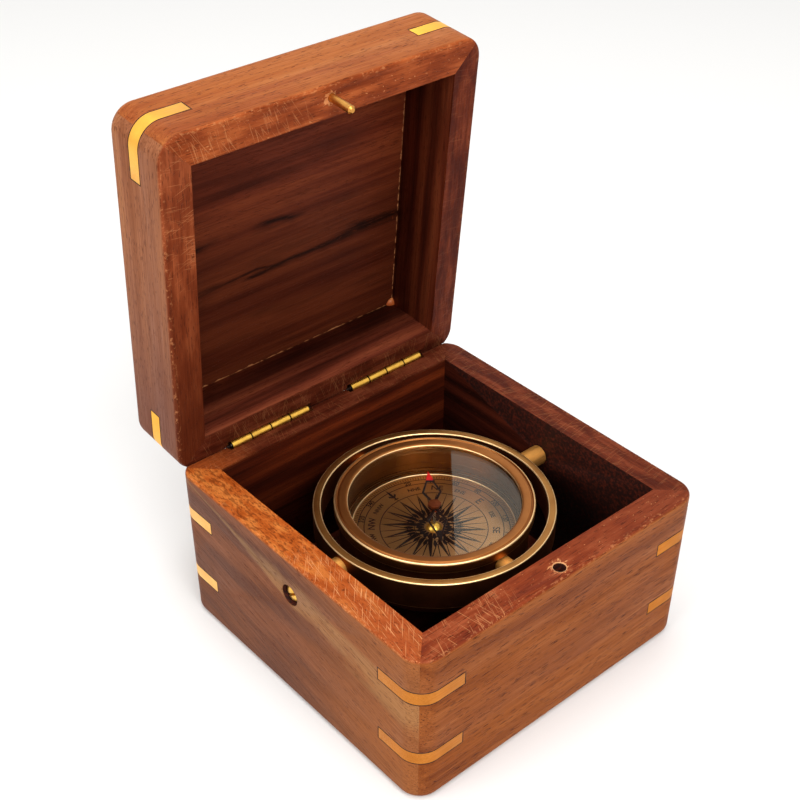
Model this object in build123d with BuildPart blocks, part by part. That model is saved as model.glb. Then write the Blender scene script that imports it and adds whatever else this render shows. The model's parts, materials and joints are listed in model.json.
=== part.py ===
from build123d import *
from math import cos, radians, sin, tan
import os

# A mitred wooden case, 100 mm square, with a hinged lid and a brass compass hung in a gimbal ring.
# The origin is the middle of the underside. The front faces -Y and the hinges are at the back, +Y.

# Case
case_width = 100.0
case_depth = 100.0
base_height = 50.0
lid_height = 21.5
wall_thickness = 8.8
floor_thickness = 6.0
floor_rebate = 4.0
panel_thickness = 3.1
panel_rebate = 3.5
corner_radius = 6.5
base_edge_radius = 2.5
lid_edge_radius = 3.0
rim_edge_radius = 1.0

# Brass strips let in flush round each corner
strip_leg = 15.0
strip_height = 4.0
strip_depth = 2.0
lower_strip_level = 16.0
upper_strip_level = 37.4
lid_strip_level = 10.3

# Hinges, whose leaves stand in saw kerfs in the back walls
lid_open_angle = 85.0
rim_gap = 0.3
hinge_inset = 2.0
stop_clearance = 0.05
hinge_length = 27.0
left_hinge_inset = 30.4
right_hinge_inset = 26.9
knuckle_count = 4
knuckle_gap = 0.2
barrel_diameter = 2.5
hinge_pin_diameter = 1.1
hinge_pin_clearance = 0.05
barrel_clearance = 0.25
hinge_end_clearance = 1.2
leaf_thickness = 0.6
leaf_depth = 8.0
kerf_clearance = 0.05
nail_diameter = 1.2
nail_head_diameter = 2.2
nail_head_height = 0.4
nail_head_top = 1.3
nail_length = 5.0
nail_level = 4.8
nail_spacing = 17.0

# Locating peg in the lid, and its hole in the case
peg_diameter = 2.2
peg_reach = 8.0
peg_root = 6.0
peg_tip_edge = 0.5
peg_inset = 3.7
peg_hole_clearance = 0.6
peg_hole_extra_depth = 1.5

# Gimbal ring and its pivots in the side walls
gimbal_height = 38.0
ring_outer_radius = 33.3
ring_wall = 2.3
ring_height = 8.4
ring_edge = 0.35
pivot_diameter = 3.0
pivot_clearance = 0.05
pivot_head_diameter = 5.4
pivot_head_height = 2.0
pivot_slot_width = 0.8
pivot_slot_depth = 0.8
counterbore_diameter = 6.2
counterbore_depth = 5.0
sleeve_diameter = 5.8
sleeve_gap = 0.4
pivot_tip_inset = 0.3

# Pivots between the ring and the bowl
inner_pivot_diameter = 2.4
inner_head_diameter = 4.4
inner_head_sink = 0.1
inner_head_angle = 90.0
boss_diameter = 4.6
boss_gap = 0.3
inner_tip_inset = 0.3

# Bowl
bowl_outer_radius = 26.2
bowl_wall = 1.6
bowl_drop = 17.0
bowl_floor = 2.0
bowl_round = 8.0
dial_ledge = 1.8
dial_drop = 5.5
dial_thickness = 1.0
dial_clearance = 0.1
dial_ring_width = 1.9
dial_ring_height = 0.7
dial_ring_bevel = 0.4
glass_drop = 3.6
glass_thickness = 1.2
glass_clearance = 0.2
bezel_outer_radius = 27.5
bezel_inner_radius = 23.7
bezel_lip = 0.4
bezel_crown = 1.0
bezel_skirt = 3.0
bezel_edge = 0.25
bezel_groove_radius = 26.55
bezel_groove_width = 0.35
bezel_groove_depth = 0.35
weight_radius = 15.5
weight_height = 5.5
weight_edge = 0.4

# Centre pin and needle
pin_boss_radius = 2.35
pin_boss_height = 1.5
pin_stem_radius = 1.0
pin_radius = 0.45
pin_root = 1.2
pin_point = 1.5
needle_rise = 7.5
needle_azimuth = 35.0
needle_reach = 15.3
needle_tip_base = 11.1
needle_tip_width = 2.1
needle_wide_reach = 6.0
needle_wide = 5.5
needle_line = 0.6
needle_thickness = 0.25
needle_hub_radius = 1.9
needle_tip_thickness = 0.5
cap_stem_radius = 1.0
cap_flange_radius = 1.5
cap_flange_height = 1.0
cap_hex_radius = 1.9
cap_hex_height = 0.85
cup_radius = 0.9
cup_depth = 1.6
point_clearance = 0.08

# Values that follow from the sizes above
half_width = case_width / 2
half_depth = case_depth / 2
hinge_centres = (left_hinge_inset - half_width, half_width - right_hinge_inset)
inside_width = case_width - 2 * wall_thickness
inside_depth = case_depth - 2 * wall_thickness
hinge_y = half_depth - hinge_inset
hinge_z = base_height + rim_gap / 2
barrel_radius = barrel_diameter / 2
recess_radius = barrel_radius + barrel_clearance
knuckle_pitch = hinge_length / knuckle_count
leaf_y = hinge_y - barrel_radius + leaf_thickness / 2
stop_angle = radians(lid_open_angle / 2)
stop_start = rim_gap / 2 / tan(stop_angle) - stop_clearance / sin(stop_angle)
peg_y = -half_depth + peg_inset
ring_inner_radius = ring_outer_radius - ring_wall
ring_middle_radius = ring_outer_radius - ring_wall / 2
inner_head_place = ring_outer_radius - inner_head_sink
inner_head_height = (inner_head_diameter - inner_pivot_diameter) / 2 / tan(radians(inner_head_angle / 2))
pivot_radius = pivot_diameter / 2
inner_pivot_radius = inner_pivot_diameter / 2
bowl_inner_radius = bowl_outer_radius - bowl_wall
bowl_ledge_radius = bowl_inner_radius - dial_ledge
bowl_bottom = gimbal_height - bowl_drop
dial_top = gimbal_height - dial_drop
dial_bottom = dial_top - dial_thickness
dial_radius = bowl_inner_radius - dial_clearance
glass_bottom = gimbal_height + glass_drop
glass_top = glass_bottom + glass_thickness
bezel_top = glass_top + bezel_crown
needle_bottom = dial_top + needle_rise
cup_apex = needle_bottom - cap_flange_height + cup_depth
margin = 1.0

# The lid's own frame: its rim lies in the local XY plane and it rises along local Z. The frame is turned
# back about the hinge axis, so the lid is modelled in place, open against its stop.
open_turn = -lid_open_angle
lid_origin = Vector(0, hinge_y, hinge_z) + Vector(0, -hinge_y, rim_gap / 2).rotate(Axis.X, open_turn)
lid_frame = Plane(
    origin=lid_origin,
    x_dir=(1, 0, 0),
    z_dir=Vector(0, 0, 1).rotate(Axis.X, open_turn),
)
base_frame = Plane.XY

os.makedirs("parts", exist_ok=True)


def save(piece, name):
    """Labels a finished piece and writes it under its name."""
    piece.label = name
    export_step(piece, f"parts/{name}.step")


def section_plane(frame, x, y, z):
    """A plane square to the case's width, with local x to the back and local y up, in the given frame."""
    return Plane(origin=frame.from_local_coords((x, y, z)), x_dir=frame.y_dir, z_dir=frame.x_dir)


def mitred_wall(frame, block, height, side):
    """One wall of a block, cut off at both ends by the mitres. Sides run front, right, back, left."""
    corners = [(-1, -1), (1, -1), (1, 1), (-1, 1)]
    outer = [(x * half_width, y * half_depth) for x, y in corners]
    inner = [(x * inside_width / 2, y * inside_depth / 2) for x, y in corners]
    after = (side + 1) % 4
    with BuildPart() as wall:
        with BuildSketch(frame):
            Polygon(outer[side], outer[after], inner[after], inner[side], align=None)
        extrude(amount=height)
        add(block, mode=Mode.INTERSECT)
    return wall.part


def corner_strip(frame, level, sign_x, sign_y):
    """One brass strip bent round a corner and let in flush, centred on a level."""
    with BuildPart() as strip:
        with BuildSketch(frame.offset(level - strip_height / 2)):
            RectangleRounded(case_width, case_depth, corner_radius)
            RectangleRounded(
                case_width - 2 * strip_depth,
                case_depth - 2 * strip_depth,
                corner_radius - strip_depth,
                mode=Mode.SUBTRACT,
            )
            with Locations((sign_x * (half_width - strip_leg / 2), sign_y * (half_depth - strip_leg / 2))):
                Rectangle(strip_leg, strip_leg, mode=Mode.INTERSECT)
        extrude(amount=strip_height)
    return strip.part


def nail_planes(frame, axis_z, up):
    """Where the nails of both hinges enter the back face, with Z outwards."""
    places = [x + step * nail_spacing / 2 for x in hinge_centres for step in (-1, 1)]
    return [
        Plane(
            origin=frame.from_local_coords((x, half_depth, axis_z + up * nail_level)),
            x_dir=frame.x_dir,
            z_dir=frame.y_dir,
        )
        for x in places
    ]


def hinge_leaf(frame, centre_x, axis_z, up, first_knuckle):
    """One leaf with its knuckles. Its plate is tangent to the barrel and stands above or below the axis."""
    plate_start = barrel_radius + barrel_clearance
    plate_y = leaf_y - hinge_y
    left = centre_x - hinge_length / 2
    with BuildPart() as leaf:
        with BuildSketch(section_plane(frame, left, hinge_y, axis_z)):
            with Locations((plate_y, up * (plate_start + leaf_depth) / 2)):
                Rectangle(leaf_thickness, leaf_depth - plate_start)
        extrude(amount=hinge_length)
        for knuckle in range(first_knuckle, knuckle_count, 2):
            start = left + knuckle * knuckle_pitch + knuckle_gap / 2
            with BuildSketch(section_plane(frame, start, hinge_y, axis_z)):
                Circle(barrel_radius)
                with Locations((plate_y, up * plate_start / 2)):
                    Rectangle(leaf_thickness, plate_start)
            extrude(amount=knuckle_pitch - knuckle_gap)
        with BuildSketch(section_plane(frame, left - margin, hinge_y, axis_z)):
            Circle(hinge_pin_diameter / 2 + hinge_pin_clearance)
        extrude(amount=hinge_length + 2 * margin, mode=Mode.SUBTRACT)
        with Locations(*nail_planes(frame, axis_z, up)):
            Hole(nail_diameter / 2, depth=nail_length)
    return leaf.part


def hinge_seats(frame, axis_z, up):
    """The barrel recesses and the kerfs that both hinges need in one back wall."""
    with BuildPart() as seats:
        for centre_x in hinge_centres:
            recess_length = hinge_length + 2 * hinge_end_clearance
            with BuildSketch(section_plane(frame, centre_x - recess_length / 2, hinge_y, axis_z)):
                Circle(recess_radius)
            extrude(amount=recess_length)
            kerf_length = hinge_length + 2 * kerf_clearance
            kerf_depth = leaf_depth + kerf_clearance
            with BuildSketch(section_plane(frame, centre_x - kerf_length / 2, leaf_y, axis_z)):
                with Locations((0, up * kerf_depth / 2)):
                    Rectangle(leaf_thickness + 2 * kerf_clearance, kerf_depth)
            extrude(amount=kerf_length)
    return seats.part


def stop_bevel(frame, rim_z, up):
    """The wedge taken off a back edge behind the hinge axis. Lid and case meet on these bevels when open."""
    reach = hinge_inset + margin
    with BuildPart() as wedge:
        with BuildSketch(section_plane(frame, -half_width - margin, hinge_y + stop_start, rim_z)):
            Polygon((0, 0), (reach, 0), (reach, up * reach * tan(stop_angle)), align=None)
        extrude(amount=case_width + 2 * margin)
    return wedge.part


def nail_row(frame, axis_z, up):
    """The brass nails of both hinges, with raised heads on the back face."""
    with BuildPart() as nails:
        for place in nail_planes(frame, axis_z, up):
            with BuildSketch(Plane(origin=place.origin, x_dir=place.x_dir, z_dir=-place.y_dir)):
                Polygon(
                    (0, nail_head_height),
                    (0, -nail_length),
                    (nail_diameter / 2, -nail_length),
                    (nail_diameter / 2, 0),
                    (nail_head_diameter / 2, 0),
                    (nail_head_top / 2, nail_head_height),
                    align=None,
                )
            revolve(axis=Axis(place.origin, place.z_dir))
    return nails.part


def side_plane(sign, x):
    """A plane on the left-right gimbal axis, facing away from the middle."""
    return Plane(origin=(sign * x, 0, gimbal_height), z_dir=(sign, 0, 0))


def end_plane(sign, y):
    """A plane on the front-back gimbal axis, facing away from the middle."""
    return Plane(origin=(0, sign * y, gimbal_height), z_dir=(0, sign, 0))


# The base, first as one block with everything cut in it, then parted at the mitres
base_axis_z = hinge_z
lid_axis_z = -rim_gap / 2
corners = {"front_left": (-1, -1), "front_right": (1, -1), "back_right": (1, 1), "back_left": (-1, 1)}
sides = ("front", "right", "back", "left")
base_strips = {
    f"base_strip_{corner}_{row}": corner_strip(base_frame, level, *signs)
    for corner, signs in corners.items()
    for row, level in (("lower", lower_strip_level), ("upper", upper_strip_level))
}
lid_strips = {
    f"lid_strip_{corner}": corner_strip(lid_frame, lid_strip_level, *signs)
    for corner, signs in corners.items()
}
base_hinge_seats = hinge_seats(base_frame, base_axis_z, -1)
base_bevel = stop_bevel(base_frame, base_height, -1)

with BuildPart() as base_block:
    with BuildSketch():
        RectangleRounded(case_width, case_depth, corner_radius)
    extrude(amount=base_height)
    fillet(base_block.faces().sort_by(Axis.Z)[0].edges(), base_edge_radius)
    fillet(base_block.faces().sort_by(Axis.Z)[-1].edges(), rim_edge_radius)
    with BuildSketch(Plane.XY.offset(floor_thickness)):
        Rectangle(inside_width, inside_depth)
    extrude(amount=base_height, mode=Mode.SUBTRACT)
    with BuildSketch():
        Rectangle(inside_width + 2 * floor_rebate, inside_depth + 2 * floor_rebate)
    extrude(amount=floor_thickness, mode=Mode.SUBTRACT)
    with Locations(side_plane(-1, half_width), side_plane(1, half_width)):
        CounterBoreHole(
            pivot_radius,
            counterbore_diameter / 2,
            counterbore_depth,
            depth=wall_thickness + margin,
        )
    with Locations((0, peg_y, base_height)):
        Hole(peg_diameter / 2 + peg_hole_clearance, depth=peg_reach + peg_hole_extra_depth)
    with Locations(*nail_planes(base_frame, base_axis_z, -1)):
        Hole(nail_diameter / 2, depth=nail_length)
    add(base_hinge_seats, mode=Mode.SUBTRACT)
    add(base_bevel, mode=Mode.SUBTRACT)
    for strip in base_strips.values():
        add(strip, mode=Mode.SUBTRACT)

for number, side in enumerate(sides):
    save(mitred_wall(base_frame, base_block.part, base_height, number), f"base_{side}_wall")

with BuildPart() as base_floor:
    with BuildSketch():
        Rectangle(inside_width + 2 * floor_rebate, inside_depth + 2 * floor_rebate)
    extrude(amount=floor_thickness)
save(base_floor.part, "base_floor")

for name, strip in base_strips.items():
    save(strip, name)

# The lid, made in its own frame in the same way
lid_axis = Axis(lid_frame.origin, lid_frame.z_dir)
lid_hinge_seats = hinge_seats(lid_frame, lid_axis_z, 1)
lid_bevel = stop_bevel(lid_frame, 0, 1)
peg_plane = Plane(
    origin=lid_frame.from_local_coords((0, peg_y, 0)),
    x_dir=lid_frame.x_dir,
    z_dir=-lid_frame.z_dir,
)

with BuildPart() as lid_block:
    with BuildSketch(lid_frame):
        RectangleRounded(case_width, case_depth, corner_radius)
    extrude(amount=lid_height)
    fillet(lid_block.faces().sort_by(lid_axis)[0].edges(), rim_edge_radius)
    fillet(lid_block.faces().sort_by(lid_axis)[-1].edges(), lid_edge_radius)
    with BuildSketch(lid_frame):
        Rectangle(inside_width, inside_depth)
    extrude(amount=lid_height - panel_thickness, mode=Mode.SUBTRACT)
    with BuildSketch(lid_frame.offset(lid_height - panel_thickness)):
        Rectangle(inside_width + 2 * panel_rebate, inside_depth + 2 * panel_rebate)
    extrude(amount=panel_thickness, mode=Mode.SUBTRACT)
    with Locations(peg_plane):
        Hole(peg_diameter / 2, depth=peg_root)
    with Locations(*nail_planes(lid_frame, lid_axis_z, 1)):
        Hole(nail_diameter / 2, depth=nail_length)
    add(lid_hinge_seats, mode=Mode.SUBTRACT)
    add(lid_bevel, mode=Mode.SUBTRACT)
    for strip in lid_strips.values():
        add(strip, mode=Mode.SUBTRACT)

for number, side in enumerate(sides):
    save(mitred_wall(lid_frame, lid_block.part, lid_height, number), f"lid_{side}_wall")

with BuildPart() as lid_panel:
    with BuildSketch(lid_frame.offset(lid_height - panel_thickness)):
        Rectangle(inside_width + 2 * panel_rebate, inside_depth + 2 * panel_rebate)
    extrude(amount=panel_thickness)
save(lid_panel.part, "lid_panel")

for name, strip in lid_strips.items():
    save(strip, name)

with BuildPart() as locating_peg:
    with BuildSketch(peg_plane.offset(-peg_root)):
        Circle(peg_diameter / 2)
    extrude(amount=peg_root + peg_reach)
    chamfer(locating_peg.edges().sort_by(lid_axis)[0], peg_tip_edge)
save(locating_peg.part, "locating_peg")

# Hinges
for side, centre_x in zip(("left", "right"), hinge_centres):
    save(hinge_leaf(base_frame, centre_x, base_axis_z, -1, 0), f"base_hinge_leaf_{side}")
    save(hinge_leaf(lid_frame, centre_x, lid_axis_z, 1, 1), f"lid_hinge_leaf_{side}")
    with BuildPart() as hinge_pin:
        with BuildSketch(section_plane(base_frame, centre_x - hinge_length / 2, hinge_y, hinge_z)):
            Circle(hinge_pin_diameter / 2)
        extrude(amount=hinge_length)
    save(hinge_pin.part, f"hinge_pin_{side}")
save(nail_row(base_frame, base_axis_z, -1), "base_hinge_nails")
save(nail_row(lid_frame, lid_axis_z, 1), "lid_hinge_nails")

# Pivots from the side walls to the gimbal ring: screws of the case, sleeves of the ring
for side, sign in (("left", -1), ("right", 1)):
    with BuildPart() as pivot_screw:
        with BuildSketch(side_plane(sign, half_width - counterbore_depth)):
            Circle(pivot_head_diameter / 2)
        extrude(amount=pivot_head_height)
        with BuildSketch(side_plane(sign, half_width - counterbore_depth)):
            Circle(pivot_radius)
        extrude(amount=-(half_width - counterbore_depth - ring_inner_radius - pivot_tip_inset))
        with BuildSketch(side_plane(sign, half_width - counterbore_depth + pivot_head_height)):
            Rectangle(pivot_slot_width, pivot_head_diameter)
        extrude(amount=-pivot_slot_depth, mode=Mode.SUBTRACT)
    save(pivot_screw.part, f"pivot_screw_{side}")

    with BuildPart() as sleeve:
        with BuildSketch(side_plane(sign, ring_middle_radius)):
            Circle(sleeve_diameter / 2)
            Circle(pivot_radius + pivot_clearance, mode=Mode.SUBTRACT)
        extrude(amount=inside_width / 2 - sleeve_gap - ring_middle_radius)
        with Locations((0, 0, gimbal_height)):
            Cylinder(ring_outer_radius, 2 * sleeve_diameter, mode=Mode.SUBTRACT)
    save(sleeve.part, f"ring_sleeve_{side}")

with BuildPart() as outer_ring:
    with BuildSketch(Plane.XZ) as ring_section:
        with Locations((ring_middle_radius, gimbal_height)):
            Rectangle(ring_wall, ring_height)
        chamfer(ring_section.vertices(), ring_edge)
    revolve(axis=Axis.Z)
    with Locations((0, 0, gimbal_height)):
        Cylinder(
            pivot_radius + pivot_clearance,
            2 * ring_outer_radius + margin,
            rotation=(0, 90, 0),
            mode=Mode.SUBTRACT,
        )
    with Locations(end_plane(-1, inner_head_place), end_plane(1, inner_head_place)):
        CounterSinkHole(
            inner_pivot_radius,
            inner_head_diameter / 2,
            depth=2 * ring_wall,
            counter_sink_angle=inner_head_angle,
        )
save(outer_ring.part, "outer_ring")

# Pivots from the gimbal ring to the bowl
for side, sign in (("front", -1), ("back", 1)):
    with BuildPart() as inner_screw:
        with Locations(end_plane(sign, inner_head_place - inner_head_height)):
            Cone(
                inner_pivot_radius,
                inner_head_diameter / 2,
                inner_head_height,
                align=(Align.CENTER, Align.CENTER, Align.MIN),
            )
        with BuildSketch(end_plane(sign, bowl_inner_radius + inner_tip_inset)):
            Circle(inner_pivot_radius)
        extrude(amount=inner_head_place - inner_head_height - bowl_inner_radius - inner_tip_inset)
    save(inner_screw.part, f"bowl_pivot_screw_{side}")

    with BuildPart() as boss:
        with BuildSketch(end_plane(sign, bowl_outer_radius + boss_gap)):
            Circle(boss_diameter / 2)
            Circle(inner_pivot_radius, mode=Mode.SUBTRACT)
        extrude(amount=ring_middle_radius - bowl_outer_radius - boss_gap)
        with Locations((0, 0, gimbal_height)):
            Cylinder(ring_inner_radius, 2 * boss_diameter, mode=Mode.INTERSECT)
    save(boss.part, f"bowl_pivot_boss_{side}")

# Bowl
inner_slope = bowl_round - bowl_wall - dial_ledge
with BuildPart() as bowl_shell:
    with BuildSketch(Plane.XZ):
        with BuildLine():
            outside = Line((0, bowl_bottom), (bowl_outer_radius - bowl_round, bowl_bottom))
            outside_round = TangentArc(
                outside @ 1,
                (bowl_outer_radius, bowl_bottom + bowl_round),
                tangent=outside % 1,
            )
            Polyline(
                outside_round @ 1,
                (bowl_outer_radius, glass_bottom),
                (bowl_inner_radius, glass_bottom),
                (bowl_inner_radius, dial_bottom),
                (bowl_ledge_radius, dial_bottom),
                (bowl_ledge_radius, bowl_bottom + bowl_floor + inner_slope),
                (bowl_ledge_radius - inner_slope, bowl_bottom + bowl_floor),
                (0, bowl_bottom + bowl_floor),
                (0, bowl_bottom),
            )
        make_face()
    revolve(axis=Axis.Z)
    with Locations((0, 0, gimbal_height)):
        Cylinder(
            inner_pivot_radius + pivot_clearance,
            2 * bowl_outer_radius + margin,
            rotation=(90, 0, 0),
            mode=Mode.SUBTRACT,
        )
save(bowl_shell.part, "bowl_shell")

with BuildPart() as bezel_ring:
    with BuildSketch(Plane.XZ):
        with BuildLine():
            Polyline(
                (bezel_inner_radius, bezel_top - bezel_lip),
                (bezel_inner_radius, glass_top),
                (bowl_outer_radius, glass_top),
                (bowl_outer_radius, bezel_top - bezel_skirt),
                (bezel_outer_radius, bezel_top - bezel_skirt),
                (bezel_outer_radius, bezel_top - bezel_edge),
                (bezel_outer_radius - bezel_edge, bezel_top),
                (bezel_groove_radius + bezel_groove_width / 2, bezel_top),
                (bezel_groove_radius + bezel_groove_width / 2, bezel_top - bezel_groove_depth),
                (bezel_groove_radius - bezel_groove_width / 2, bezel_top - bezel_groove_depth),
                (bezel_groove_radius - bezel_groove_width / 2, bezel_top),
            )
            TangentArc(
                (bezel_groove_radius - bezel_groove_width / 2, bezel_top),
                (bezel_inner_radius, bezel_top - bezel_lip),
                tangent=(-1, 0),
            )
        make_face()
    revolve(axis=Axis.Z)
save(bezel_ring.part, "bezel_ring")

with BuildPart() as cover_glass:
    with BuildSketch(Plane.XY.offset(glass_bottom)):
        Circle(bowl_outer_radius - glass_clearance)
    extrude(amount=glass_thickness)
save(cover_glass.part, "cover_glass")

with BuildPart() as dial:
    with BuildSketch(Plane.XY.offset(dial_bottom)):
        Circle(dial_radius)
        Circle(pin_stem_radius, mode=Mode.SUBTRACT)
    extrude(amount=dial_thickness)
save(dial.part, "dial")

with BuildPart() as dial_ring:
    with BuildSketch(Plane.XZ):
        inner = dial_radius - dial_ring_width
        Polygon(
            (inner, dial_top),
            (dial_radius, dial_top),
            (dial_radius, dial_top + dial_ring_height),
            (inner + dial_ring_bevel, dial_top + dial_ring_height),
            (inner, dial_top + dial_ring_height - dial_ring_bevel),
            align=None,
        )
    revolve(axis=Axis.Z)
save(dial_ring.part, "dial_ring")

with BuildPart() as balance_weight:
    with BuildSketch(Plane.XY.offset(bowl_bottom + bowl_floor)):
        Circle(weight_radius)
    extrude(amount=weight_height)
    chamfer(balance_weight.faces().sort_by(Axis.Z)[-1].edges(), weight_edge)
save(balance_weight.part, "balance_weight")

# Centre pin on its domed boss
with BuildPart() as pin_boss:
    with BuildSketch(Plane.XZ):
        with BuildLine():
            Polyline(
                (0, dial_top + pin_boss_height),
                (0, dial_bottom),
                (pin_stem_radius, dial_bottom),
                (pin_stem_radius, dial_top),
                (pin_boss_radius, dial_top),
            )
            TangentArc((0, dial_top + pin_boss_height), (pin_boss_radius, dial_top), tangent=(1, 0))
        make_face()
    revolve(axis=Axis.Z)
    with Locations((0, 0, dial_top + pin_boss_height)):
        Hole(pin_radius, depth=pin_root)
save(pin_boss.part, "pin_boss")

with BuildPart() as centre_pin:
    with BuildSketch(Plane.XZ):
        Polygon(
            (0, dial_top + pin_boss_height - pin_root),
            (pin_radius, dial_top + pin_boss_height - pin_root),
            (pin_radius, cup_apex - point_clearance - pin_point),
            (0, cup_apex - point_clearance),
            align=None,
        )
    revolve(axis=Axis.Z)
save(centre_pin.part, "centre_pin")

# Needle, with local Y along its north half
turn = radians(needle_azimuth)
needle_plane = Plane(
    origin=(0, 0, needle_bottom),
    x_dir=(cos(turn), -sin(turn), 0),
    z_dir=(0, 0, 1),
)
wide = needle_wide / 2
narrow = needle_tip_width / 2

with BuildPart() as needle_blade:
    with BuildSketch(needle_plane):
        for end in (-1, 1):
            Polygon(
                (0, 0),
                (wide, end * needle_wide_reach),
                (narrow, end * needle_tip_base),
                (-narrow, end * needle_tip_base),
                (-wide, end * needle_wide_reach),
                align=None,
            )
            Polygon(
                (0, end * needle_hub_radius),
                (wide - needle_line, end * needle_wide_reach),
                (narrow - needle_line / 2, end * (needle_tip_base - needle_line)),
                (-narrow + needle_line / 2, end * (needle_tip_base - needle_line)),
                (-wide + needle_line, end * needle_wide_reach),
                align=None,
                mode=Mode.SUBTRACT,
            )
        Polygon(
            (narrow, -needle_tip_base),
            (0, -needle_reach),
            (-narrow, -needle_tip_base),
            align=None,
        )
        Circle(needle_hub_radius)
        Circle(cap_stem_radius, mode=Mode.SUBTRACT)
    extrude(amount=needle_thickness)
save(needle_blade.part, "needle_blade")

with BuildPart() as north_tip:
    with BuildSketch(needle_plane.offset((needle_thickness - needle_tip_thickness) / 2)):
        Polygon(
            (-narrow, needle_tip_base),
            (narrow, needle_tip_base),
            (0, needle_reach),
            align=None,
        )
    extrude(amount=needle_tip_thickness)
save(north_tip.part, "north_tip")

with BuildPart() as needle_cap:
    with BuildSketch(needle_plane.offset(-cap_flange_height)):
        Circle(cap_flange_radius)
    extrude(amount=cap_flange_height)
    with BuildSketch(needle_plane):
        Circle(cap_stem_radius)
    extrude(amount=needle_thickness)
    with BuildSketch(needle_plane.offset(needle_thickness)):
        RegularPolygon(cap_hex_radius, 6)
    extrude(amount=cap_hex_height)
    with Locations(needle_plane.offset(-cap_flange_height)):
        Cone(cup_radius, 0, cup_depth, align=(Align.CENTER, Align.CENTER, Align.MIN), mode=Mode.SUBTRACT)
save(needle_cap.part, "needle_cap")
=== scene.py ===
"""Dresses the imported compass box: varnished rosewood boards, brass fittings and a printed compass dial."""

import json
import logging
from collections.abc import Callable, Iterable, Sequence
from dataclasses import dataclass, replace
from enum import Enum, IntEnum
from functools import partial
from math import cos, radians, sin, tau

import bmesh
import bpy
from mathutils import Matrix, Quaternion, Vector


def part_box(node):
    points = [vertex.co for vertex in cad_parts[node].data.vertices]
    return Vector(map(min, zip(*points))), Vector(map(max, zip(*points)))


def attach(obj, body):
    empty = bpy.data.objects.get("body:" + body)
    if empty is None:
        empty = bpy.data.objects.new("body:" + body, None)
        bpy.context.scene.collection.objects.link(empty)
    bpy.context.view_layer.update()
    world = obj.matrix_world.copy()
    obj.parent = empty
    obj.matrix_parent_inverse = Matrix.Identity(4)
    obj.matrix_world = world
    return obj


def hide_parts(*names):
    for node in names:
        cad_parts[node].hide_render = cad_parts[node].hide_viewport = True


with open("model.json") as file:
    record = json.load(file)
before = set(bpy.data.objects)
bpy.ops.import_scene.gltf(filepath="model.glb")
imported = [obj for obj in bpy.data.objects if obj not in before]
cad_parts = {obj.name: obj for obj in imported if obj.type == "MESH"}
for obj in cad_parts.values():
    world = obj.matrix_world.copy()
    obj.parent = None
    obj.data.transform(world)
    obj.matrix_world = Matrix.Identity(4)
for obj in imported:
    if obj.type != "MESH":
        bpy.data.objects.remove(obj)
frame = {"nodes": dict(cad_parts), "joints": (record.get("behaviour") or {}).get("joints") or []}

LOG = logging.getLogger("compass_box")
MM = 0.001
HINGE = next(joint for joint in frame["joints"] if joint["name"] == "lid_hinge")
MERGE_MM = 0.0005
# Where most of a noise's values lie.
NOISE_SPAN = (0.3, 0.7)

PLAIN_INPUT = "Base Color"
GLOSS_INPUT = "Specular IOR Level"
SEEN = "ShaderNodeTexCoord"
MATH = "ShaderNodeMath"
SPAN = "ShaderNodeMapRange"
MIX = "ShaderNodeMix"
RAMP = "ShaderNodeValToRGB"
MAPPING = "ShaderNodeMapping"
NOISE = "ShaderNodeTexNoise"
SPLIT = "ShaderNodeSeparateXYZ"
JOIN = "ShaderNodeCombineXYZ"
VECTOR_MATH = "ShaderNodeVectorMath"
BUMP = "ShaderNodeBump"
COLOUR = {"data_type": "RGBA", "output": 2}
PLUS = {"operation": "ADD"}
MINUS = {"operation": "SUBTRACT"}
TIMES = {"operation": "MULTIPLY"}
TIMES_PLUS = {"operation": "MULTIPLY_ADD"}
LARGER = {"operation": "MAXIMUM"}
SIZE = {"operation": "ABSOLUTE"}

Colour = tuple[float, float, float, float]
Pair = tuple[float, float]
Triple = tuple[float, float, float]
Streak = tuple[float, float, float, float]
Tree = bpy.types.NodeTree
Socket = bpy.types.NodeSocket
Shape = bmesh.types.BMesh
Scene = bpy.types.Scene
Object = bpy.types.Object
Looks = dict[int | str, object]
Inputs = Looks | Sequence[object]
Add = Callable[..., Socket]


class Part(Enum):
    """The two wooden halves of the box.

    Each has its nodes' prefix, its body, and the heights in the closed box, in millimetres, between which its
    sanded rim and its darker inside begin.
    """

    BASE = ("base", "case", (49.25, 49.8), (5.7, 5.9))
    LID = ("lid", "lid", (51.05, 50.6), (69.0, 68.8))

    def __init__(self, prefix: str, body: str, rim_span: Pair, inside_span: Pair) -> None:
        """Keeps the half's names and heights."""
        self.prefix = prefix
        self.body = body
        self.rim_span = rim_span
        self.inside_span = inside_span


class Grain(Enum):
    """Which way a board's fibres run, in the closed box."""

    ALONG_X = 0
    ALONG_Y = 1


class Zone(IntEnum):
    """The zones of a board, in the order of its materials."""

    BOARD = 0
    # Eased rim edges: worn paler, and paler still as a painted highlight.
    WORN_EDGE_HIGHLIGHT = 1
    STRIP_SEAT = 2
    BORE = 3


def linear(hex_colour: str) -> Colour:
    """Turns an sRGB hex colour to linear light, with an alpha of one."""
    channels = [int(hex_colour[i : i + 2], 16) / 255 for i in (1, 3, 5)]
    red, green, blue = (c / 12.92 if c <= 0.04045 else ((c + 0.055) / 1.055) ** 2.4 for c in channels)
    return red, green, blue, 1.0


def closing_turn(part: Part) -> Matrix:
    """Finds the move of a half's points from metres of the open box to millimetres of the closed one."""
    if part is Part.BASE:
        return Matrix.Scale(1 / MM, 4)
    place = Vector(HINGE["pos_m"]) / MM
    turn = Matrix.Rotation(radians(HINGE["range_deg"][1]), 4, Vector(HINGE["axis"]))
    return Matrix.Translation(place) @ turn @ Matrix.Translation(-place) @ Matrix.Scale(1 / MM, 4)


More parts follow.
